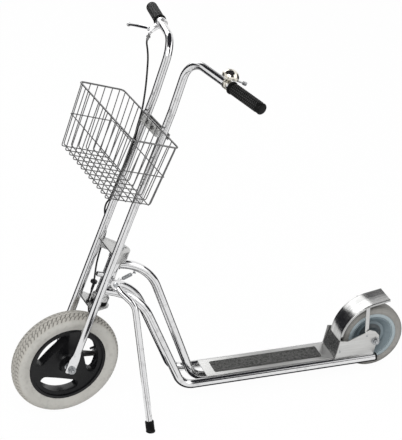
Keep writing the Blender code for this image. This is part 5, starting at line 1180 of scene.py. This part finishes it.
def makeBell():
    v = bell
    place, outward = onBar(1.0, v["fromTip"])
    upward = Vector((0.0, 0.0, 1.0))
    upward = (upward - outward * upward.dot(outward)).normalized()
    turn = Matrix((outward, upward.cross(outward), upward)).transposed().to_4x4()
    mount = at(steeringFrame, place) @ turn
    angles = [0.5 * math.pi * step / v["steps"] for step in range(v["steps"])]
    thin = v["wall"]
    radius, height = v["radius"], v["height"]
    profile = [(radius - thin, 0.0), (radius - 0.0003, 0.0), (radius, 0.0004)]
    profile += [(radius * math.cos(a), height * math.sin(a)) for a in angles[1:]]
    profile += [(0.0, height), (0.0, height - thin)]
    profile += [((radius - thin) * math.cos(a), (height - thin) * math.sin(a)) for a in reversed(angles[1:])]
    dome = lathe("bellDome", profile, 80)
    settle(dome, at(mount, (0.0, 0.0, v["domeLow"])), "warmNickel", "bell_dome", smooth=50.0)
    machined("bell_base", "paleClamp", 0.0003)
    pivot, knob = Vector((*v["pivot"], 0.0)), Vector((*v["knob"], 0.0))
    along = (knob - pivot).normalized()
    across = Vector((-along.y, along.x, 0.0))
    top = v["base"] - gap
    low = top - v["lever"]
    outline = [tuple((knob - across * v["armHalf"]).xy), tuple((knob + across * v["armHalf"]).xy)]
    first, sweep = v["tailSweep"]
    for step in range(v["steps"] + 1):
        angle = math.radians(first + sweep * step / v["steps"])
        spot = pivot + (along * math.cos(angle) + across * math.sin(angle)) * v["tail"]
        outline.append(tuple(spot.xy))
    arm = plate("bellLever", outline, low, top)
    hole = rod("bellLeverHole", v["hole"], low - 0.01, top + 0.01, 32)
    put(hole, Matrix.Translation(pivot))
    carve(arm, hole)
    bevelled(arm, 0.0003, 2)
    settle(arm, mount, "steel", "bell_lever")
    outline = []
    for k, (x, y) in enumerate(circle(4 * v["teeth"])):
        radius = v["knobRadius"] - (v["toothDepth"] if k % 4 in (2, 3) else 0.0)
        outline.append((radius * x, radius * y))
    button = plate("bellKnob", outline, top - v["knobUnder"], top + v["knobOver"])
    bevelled(button, 0.0002, 2)
    settle(button, at(mount, knob), "steel", body=bodyOf("bell_lever"), smooth=25.0)


makeCable()
makeBell()
print("stage: brake, cable and bell")


# Basket

basket = {"back": 0.058, "front": 0.1935, "top": 0.748, "floor": 0.570, "topHalf": 0.178, "floorHalf": 0.161,
          "corner": 0.012, "rim": 0.0023, "wire": 0.0014, "cross": 12, "long": 6, "crossShare": 0.93,
          "turnUp": 0.006, "bend": 0.0045, "inset": 0.011}


def spread(count, half):
    return [half * (2.0 * index / (count - 1) - 1.0) for index in range(count)]


def makeBasket():
    v = basket
    low = v["floor"] + v["turnUp"] + gap
    high = v["top"] - v["rim"] - gap
    middle = 0.5 * (v["top"] + v["floor"])
    lap = 1.7 * v["wire"]
    cross = spread(v["cross"], v["crossShare"])
    centre = 0.5 * (v["front"] + v["back"])
    along = [centre + offset for offset in spread(v["long"], 0.5 * (v["front"] - v["back"]) - v["inset"])]

    def halfAt(level):
        share = (level - v["floor"]) / (v["top"] - v["floor"])
        return v["floorHalf"] + share * (v["topHalf"] - v["floorHalf"])

    def grille(face, lines):
        node = f"basket_{face}_wires"
        mesh = wire(nameOf(node), [[steeringFrame @ Vector(spot) for spot in line] for line in lines],
                    v["wire"], 10)
        dress(mesh, "basketWire", node, smooth=60.0)

    for face, forward, inward in (("front", v["front"], -1.0), ("rear", v["back"], 1.0)):
        lines = [[(forward, share * halfAt(low), low), (forward, share * halfAt(high), high)]
                 for share in cross]
        wide = halfAt(middle) - 2.2 * v["wire"]
        lines.append([(forward + inward * lap, -wide, middle), (forward + inward * lap, wide, middle)])
        grille(face, lines)
    for face, side in bothSides:
        lines = [[(x, side * halfAt(low), low), (x, side * halfAt(high), high)] for x in along]
        inner = side * (halfAt(middle) - lap)
        ends = 3.4 * v["wire"]
        lines.append([(v["back"] + ends, inner, middle), (v["front"] - ends, inner, middle)])
        grille(face, lines)
    turnUp = v["floor"] + v["turnUp"]
    lines = []
    for share in cross:
        side = share * v["floorHalf"]
        corners = [(v["back"], side, turnUp), (v["back"], side, v["floor"]), (v["front"], side, v["floor"]),
                   (v["front"], side, turnUp)]
        lines.append(rounded(corners, [0.0, v["bend"], v["bend"], 0.0], 5))
    half, level = v["floorHalf"], v["floor"] + lap
    for x in along:
        corners = [(x, -half, turnUp), (x, -half, level), (x, half, level), (x, half, turnUp)]
        lines.append(rounded(corners, [0.0, 0.5 * v["bend"], 0.5 * v["bend"], 0.0], 4))
    grille("floor", lines)
    half = v["topHalf"]
    corners = [(v["back"], -half), (v["front"], -half), (v["front"], half), (v["back"], half)]
    line = rounded([(x, y, v["top"]) for x, y in corners], [v["corner"]] * 4, 8, looped=True)
    rim = wire("basketRim", [[steeringFrame @ spot for spot in line]], v["rim"], 14, looped=True)
    dress(rim, "basketWire", "basket_rim", smooth=60.0)
    machined("basket_bracket", "clampSheet", 0.0005)
    machined("basket_clamp", "darkSteel", 0.0005)


makeBasket()
print("stage: basket")


# Frame

headTube = {"radius": 0.019, "bore": 0.015, "bottom": 0.224, "top": 0.345, "collar": 0.0015,
            "collarWidth": 0.011, "stubLevel": 0.278, "stubRadius": 0.0075, "stubReach": 0.0355,
            "boss": 0.009, "bossDeep": 0.030}
bearingCup = {"radius": 0.0245, "bore": 0.0083, "yokeTop": 0.195, "seal": 0.007, "yokeUnder": 0.364}
standValues = {"pivot": (-0.131, 0.031, 0.396), "axis": (0.26, 0.88, 0.34), "over": (-0.141, 0.051, 0.381),
               "bend": (-0.172, 0.080, 0.352), "foot": (-0.195, 0.190, 0.0), "tube": 0.009, "eye": 0.013,
               "eyeHalf": 0.004, "bolt": 0.004, "upperBend": 0.018, "lowerBend": 0.045, "hook": 0.0018,
               "hookLength": 0.009, "hookBack": 0.018, "hookMiddle": (-0.139541, 0.038706, 0.413528),
               "footLength": 0.030, "footWall": 0.003, "footStop": 0.007, "footRings": 4,
               "footPitch": 0.005, "lugHalf": 0.0045, "lugPast": 0.003}
frameTube = {"radius": 0.0125, "sides": 40, "railSide": 0.0466, "railHeight": 0.045, "railRear": 0.932,
             "foot": 0.3327, "footBend": 0.052, "wall": 0.002, "bead": 0.0017,
             "topLevel": 0.4435, "topUpper": (-0.2317, 0.0, 0.4286), "topFoot": (-0.3805, 0.0, 0.036),
             "topEnd": -0.440, "topBend": 0.130, "sideLevel": 0.373, "sideOut": 0.015,
             "sideUpper": (-0.1968, 0.038, 0.3574), "sideBend": 0.140}
standPivot = Vector(standValues["pivot"])
standAxis = Vector(standValues["axis"]).normalized()
boltFrame = at(scooterFrame, standPivot, standAxis)


def headAxisX(height):
    return headBase.x - (height - headBase.z) * math.cos(headTilt) / math.sin(headTilt)


# Bead round the joint of a tube with the head tube; centre and along are in the head tube's frame.
def weldBead(name, centre, along, body, head):
    along = along.normalized()
    side = along.orthogonal().normalized()
    third = along.cross(side)
    line = []
    for across, up in circle(56):
        spot = centre + (side * across + third * up) * (frameTube["radius"] + 0.0002)
        a = along.x ** 2 + along.y ** 2
        b = 2.0 * (spot.x * along.x + spot.y * along.y)
        c = spot.x ** 2 + spot.y ** 2 - head ** 2
        reach = (-b + math.sqrt(max(0.0, b * b - 4.0 * a * c))) / (2.0 * a)
        line.append(headFrame @ (spot + along * reach))
    mesh = wire(name, [line], frameTube["bead"], 10, looped=True,
                swell=lambda index: 1.0 + 0.16 * math.sin(index * 1.9))
    dress(mesh, "zincSheet", body=body, smooth=70.0)


def makeHead():
    v = headTube
    tube, bottom, top, edge = v["radius"], v["bottom"], v["top"], 0.0006
    collar = tube + v["collar"]
    head = lathe("headTube", [(v["bore"], bottom), (tube - edge, bottom), (tube, bottom + edge),
                              (tube, top - v["collarWidth"] - 0.0015), (collar, top - v["collarWidth"]),
                              (collar, top - edge), (collar - edge, top), (v["bore"], top)], 96)
    put(head, headFrame)
    stub = rod("headStub", v["stubRadius"], v["bore"] + 0.002, v["stubReach"], 48, 0.001)
    put(stub, at(headFrame, (0.0, 0.0, v["stubLevel"]), (1.0, 0.0, 0.0)))
    near = -standValues["eyeHalf"] - gap
    boss = rod("standBoss", v["boss"], -v["bossDeep"], near, 48)
    put(boss, boltFrame)
    for piece in (stub, boss):
        core = rod("headCore", v["bore"] + 0.001, v["bottom"] - 0.02, v["top"] + 0.02, 72)
        put(core, headFrame)
        carve(piece, core)
    fuse(head, stub, boss)
    hole = rod("standBoltHole", standValues["bolt"] + gap, near - 0.014, 0.01, 40)
    put(hole, boltFrame)
    carve(head, hole)
    dress(head, "brightZinc", "head_tube", smooth=40.0)
    c = bearingCup
    sealTop = c["yokeTop"] + gap + c["seal"]
    low, high, wide = sealTop + gap, v["bottom"] - gap, c["radius"]
    cup = lathe("lowerBearingCup", [(c["bore"], low), (wide - 0.003, low), (wide - 0.0006, low + 0.003),
                                    (wide, low + 0.0045), (wide, high - 0.009),
                                    (wide - 0.0008, high - 0.0072), (wide - 0.0042, high - 0.003),
                                    (wide - 0.0055, high - 0.0012), (wide - 0.006, high), (c["bore"], high)],
                96)
    settle(cup, headFrame, "zincSheet", "lower_head_bearing", smooth=50.0)
    low, high = v["top"] + gap, c["yokeUnder"] - gap
    cup = lathe("upperBearingCup", [(c["bore"], low), (wide - 0.003, low), (wide, low + 0.004),
                                    (wide, high - 0.003), (wide - 0.003, high), (c["bore"], high)], 96)
    bevelled(cup, 0.0006, 2)
    settle(cup, headFrame, "steel", "upper_head_bearing", smooth=40.0)
    low, high = c["yokeTop"] + gap, sealTop
    step = (high - low) / 3.0
    profile = [(c["bore"], low)]
    for index in range(3):
        profile += [(wide - 0.0020, low + index * step), (wide - 0.001, low + (index + 0.3) * step),
                    (wide - 0.001, low + (index + 0.7) * step)]
    profile += [(wide - 0.0020, high), (c["bore"], high)]
    seal = lathe("steeringSeal", profile, 96)
    settle(seal, headFrame, "blackRubber", "steering_seal", smooth=40.0)


def headCutter():
    v = headTube
    core = rod("tubeEndCutter", v["radius"] - v["collar"], v["bottom"] - 0.05, v["top"] + 0.05, 96)
    put(core, headFrame)
    return core


def makeFrameTubes():
    v = frameTube
    body = bodyOf("top_tube")
    intoHead = headFrame.inverted() @ scooterFrame

    # The tube's mesh from its corners, and the first two corners in the head tube's frame
    def bentTube(name, corners, bend):
        line = [scooterFrame @ spot for spot in rounded(corners, [0.0, bend, v["footBend"], 0.0], 18)]
        first, second = (intoHead @ Vector(corner) for corner in corners[:2])
        return wire(name, [line], v["radius"], v["sides"]), first, second - first

    corners = [(headAxisX(v["topLevel"]), 0.0, v["topLevel"]), v["topUpper"], v["topFoot"],
               (gap + v["topEnd"], 0.0, v["topFoot"][2])]
    tube, first, along = bentTube("topTube", corners, v["topBend"])
    carve(tube, headCutter())
    dress(tube, "brightZinc", "top_tube", smooth=40.0)
    weldBead("topTubeWeld", first, along, body, headTube["radius"] + headTube["collar"])
    eye = Vector(spring["eye"])
    pull = eye - Vector(standValues["hookMiddle"])
    ring = rod("springEye", spring["eyeRadius"], -spring["eyeHalf"], spring["eyeHalf"], 24, 0.0004)
    put(ring, at(scooterFrame, eye, pull.cross(Vector((0.0, 0.0, 1.0)))))
    web = plate("springEyeWeb", squareOutline(spring["webHalf"]), 0.0, spring["webHigh"])
    put(web, at(scooterFrame, eye))
    fuse(ring, web)
    dress(ring, "steel", body=body)
    plug = v["radius"] - v["wall"] - gap
    quarter = [0.05 * math.pi * k for k in range(11)]
    dome = [(v["radius"] - 0.006 * (1.0 - math.cos(a)), 0.0035 + 0.005 * math.sin(a)) for a in quarter]
    for label, side in bothSides:
        name = "sideTube" + label.capitalize()
        end = (-v["railRear"], side * v["railSide"], v["railHeight"])
        x, y, z = v["sideUpper"]
        corners = [(headAxisX(v["sideLevel"]), side * v["sideOut"], v["sideLevel"]), (x, side * y, z),
                   (-v["foot"], side * v["railSide"], v["railHeight"]), end]
        tube, first, along = bentTube(name, corners, v["sideBend"])
        bore = rod(name + "Bore", v["radius"] - v["wall"], -0.01, 0.014, 48)
        put(bore, at(scooterFrame, end, (1.0, 0.0, 0.0)))
        carve(tube, headCutter(), bore)
        dress(tube, "brightZinc", "side_tube_" + label, smooth=40.0)
        weldBead(name + "Weld", first, along, body, headTube["radius"])
        inside = [(0.0, -0.010), (plug, -0.010), (plug, gap), (v["radius"], gap)]
        cap = lathe("railCap" + label.capitalize(), inside + dome + [(0.0, 0.0085)], 48)
        settle(cap, at(scooterFrame, end, (-1.0, 0.0, 0.0)), "blackPlastic", "rail_cap_" + label, smooth=40.0)


guard = {"clearance": 0.0085, "half": 0.035, "sheet": 0.0016, "lip": 0.005, "tail": 0.045, "flare": 10.0,
         "start": 4.2, "end": 88.0, "steps": 56, "strapWidth": 0.012, "strapSheet": 0.003,
         "strapAhead": 0.030, "strapLap": 0.022, "cheek": 0.0466, "cheekSheet": 0.003, "swell": 0.010,
         "fold": 0.0022, "strapAngle": 72.0, "strapCorner": 0.034, "rivet": 0.0034, "rivetDown": 0.012}
cheekRivet = {"radius": 0.0036, "spot": (-0.8184, 0.0481, 0.0809)}


def guardRadius(angle):
    v = guard
    share = (angle - math.radians(v["start"])) / math.radians(v["end"] - v["start"])
    return stance["rearRadius"] + v["clearance"] + v["swell"] * share * share


# A flat rivet on the outside of a side plate, in the upright scooter's axes.
def sideRivet(name, radius, spot, side, body):
    rivet = lathe(name, [(0.0, 0.0), (radius, 0.0), (radius - 0.0003, 0.0009),
                         (0.5 * radius + 0.0001, 0.0016), (0.0, 0.0018)], 40)
    settle(rivet, at(scooterFrame, spot, (0.0, side, 0.0)), "steel", body=body, smooth=50.0)


def makeMudguard():
    v = guard
    rows = []
    for step in range(v["steps"] + 1):
        angle = math.radians(v["start"] + (v["end"] - v["start"]) * step / v["steps"])
        out = Vector((math.cos(angle), 0.0, math.sin(angle)))
        rows.append((rearAxle + out * guardRadius(angle), out))
    flare = math.radians(v["flare"])
    back = Vector((-math.cos(flare), 0.0, math.sin(flare)))
    rows.append((rows[-1][0] + back * 0.003, Vector((math.sin(flare), 0.0, math.cos(flare)))))
    rows.append((rows[-1][0] + back * (v["tail"] - 0.003), rows[-1][1]))
    half, thin, lip, fold = v["half"], v["sheet"], v["lip"], v["fold"]
    arc = [0.5 * math.pi * k / 6 for k in range(7)]

    # One side of the folded sheet, from its lower edge round the fold
    def folded(edge, bend):
        turned = [(half - fold + bend * math.cos(a), thin - fold + bend * math.sin(a)) for a in arc]
        return [(edge, -lip)] + turned

    outer, inner = folded(half, fold), folded(half - thin, fold - thin)
    profile = outer + [(-y, z) for y, z in reversed(outer)]
    profile += [(-y, z) for y, z in inner] + inner[::-1]
    rings = [[spot + Vector((0.0, y, 0.0)) + normal * z for y, z in profile] for spot, normal in rows]
    sheet = loft("rearMudguard", rings)
    settle(sheet, scooterFrame, "guardSheet", "rear_mudguard", smooth=32.0)
    body = bodyOf("rear_mudguard")
    angle = math.acos(v["strapAhead"] / guardRadius(math.radians(v["strapAngle"])))
    top = stance["rearRadius"] + guardRadius(angle) * math.sin(angle)
    corner = stance["rearRadius"] + v["strapCorner"]
    lowSide = v["cheek"] - 0.5 * v["cheekSheet"] - gap - v["strapSheet"]
    centre = rearAxle.x + v["strapAhead"]
    for label, side in bothSides:
        rings = []
        for y, z in ((lowSide, corner - v["strapLap"]), (lowSide, corner + 0.001),
                     (half - 0.0005, top - lip - 0.003), (half - 0.0005, top - 0.0005)):
            rings.append([(centre + u * v["strapWidth"], side * (y + w * v["strapSheet"]), z)
                          for u, w in ((-0.5, 0.0), (0.5, 0.0), (0.5, 1.0), (-0.5, 1.0))])
        stay = bevelled(loft("guardStay" + label.capitalize(), rings), 0.0005, 2)
        settle(stay, scooterFrame, "zincSheet", body=body)
        spot = (centre, side * (v["cheek"] + 0.5 * v["cheekSheet"]), corner - v["rivetDown"])
        sideRivet("stayRivet" + label.capitalize(), v["rivet"], spot, side, body)


def makeStand():
    v = standValues
    tilt = math.radians(stance["lean"])
    foot = Vector((v["foot"][0], v["foot"][1], v["foot"][1] * math.tan(tilt)))
    bend = Vector(v["bend"])
    down = (foot - bend).normalized()
    line = rounded([standPivot, v["over"], bend, foot - down * v["footStop"]],
                   [0.0, v["upperBend"], v["lowerBend"], 0.0], 14)
    leg = wire("standLeg", [[scooterFrame @ spot for spot in line]], v["tube"], 32)
    room = v["eyeHalf"] - 0.0002
    below = rod("standTrimBelow", 0.02, -0.03, -room, 48)
    above = rod("standTrimAbove", 0.012, room, 0.012, 48)
    bore, edge = v["bolt"] + gap, 0.0006
    half = [(v["eye"], v["eyeHalf"] - edge), (v["eye"] - edge, v["eyeHalf"]), (bore, v["eyeHalf"])]
    eye = lathe("standEye", mirrored(half) + half, 56)
    hookSpot = boltFrame.inverted() @ scooterFrame @ Vector(v["hookMiddle"])
    reach = Vector((hookSpot.x, hookSpot.y, 0.0))
    side = Vector((-reach.y, reach.x, 0.0)).normalized() * v["lugHalf"]
    tip = reach.normalized() * (v["hookBack"] + v["lugPast"])
    outline = [tuple(spot.xy) for spot in (side, -side, tip - side, tip + side)]
    lug = plate("standLug", outline, -0.25 * room, room)
    pin = rod("standHook", v["hook"], 0.0, v["eyeHalf"] + v["hookLength"], 24, 0.0004)
    put(pin, Matrix.Translation(reach))
    rooms = [rod("standRoom" + part, 0.6 * v["eye"], -0.03, 0.03, 48) for part in ("Leg", "Lug")]
    for piece in (below, above, eye, lug, pin, *rooms):
        put(piece, boltFrame)
    carve(leg, below, above, rooms[0])
    carve(lug, rooms[1])
    fuse(leg, eye, lug, pin)
    dress(leg, "brightZinc", "stand_leg", smooth=40.0)
    wall = v["tube"] + gap + v["footWall"]
    profile = [(0.0, -0.006), (wall, -0.006), (wall + 0.001, 0.0)]
    for index in range(v["footRings"]):
        level = 0.004 + v["footPitch"] * index
        profile += [(wall, level), (wall - 0.0006, level + 0.0006), (wall - 0.0006, level + 0.0018),
                    (wall, level + 0.0024)]
    profile += [(wall, v["footLength"] - 0.002), (wall - 0.001, v["footLength"]),
                (v["tube"] + gap, v["footLength"]), (v["tube"] + gap, v["footStop"]), (0.0, v["footStop"])]
    shoe = lathe("standFoot", profile, 56)
    put(shoe, at(scooterFrame, foot, -down))
    ground = plate("groundCutter", squareOutline(1.0), -0.2, 0.0)
    carve(shoe, ground)
    dress(shoe, "blackRubber", "stand_foot", smooth=40.0)
    machined("stand_bolt", "steel", 0.0005)


spring = {"wire": 0.0008, "radius": 0.0045, "curls": 14, "length": 0.036, "points": 18,
          "eye": (-0.193, 0.0, 0.4075), "start": (-0.143215, 0.036045, 0.413114),
          "finish": (-0.190499, 0.00181, 0.407782), "eyeRadius": 0.002, "eyeHalf": 0.004,
          "webHalf": 0.0018, "webHigh": 0.010}


def makeSpring():
    v = spring
    begin, end = Vector(v["start"]), Vector(v["finish"])
    along = (Vector(v["eye"]) - Vector(standValues["hookMiddle"])).normalized()
    first = begin + along * 0.45 * ((end - begin).length - v["length"])
    side = along.cross(Vector((0.0, 1.0, 0.0))).normalized()
    third = along.cross(side)
    line = [begin, first - along * 0.002]
    count = v["curls"] * v["points"]
    for index in range(count + 1):
        angle = math.tau * index / v["points"]
        line.append(first + along * v["length"] * index / count
                    + (side * math.cos(angle) + third * math.sin(angle)) * v["radius"])
    line += [first + along * (v["length"] + 0.002), end]
    coil = wire("standSpring", [[scooterFrame @ spot for spot in line]], v["wire"], 10)
    shade(coil, "steel", 60.0)
    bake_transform(coil)
    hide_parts("stand_spring")


makeHead()
makeFrameTubes()
machined("cross_member", "zincSheet", 0.0006)
machined("deck_plate", "deckSheet", 0.0005)
machined("deck_mat", "blackGrit", 0.0005)
machined("rear_bracket", "bracketSheet", 0.0006)
for label, side in bothSides:
    x, y, z = cheekRivet["spot"]
    sideRivet("cheekRivet" + label.capitalize(), cheekRivet["radius"], (x, side * y, z), side,
              bodyOf("rear_bracket"))
makeMudguard()
makeStand()
makeSpring()
print("stage: frame, deck and stand")
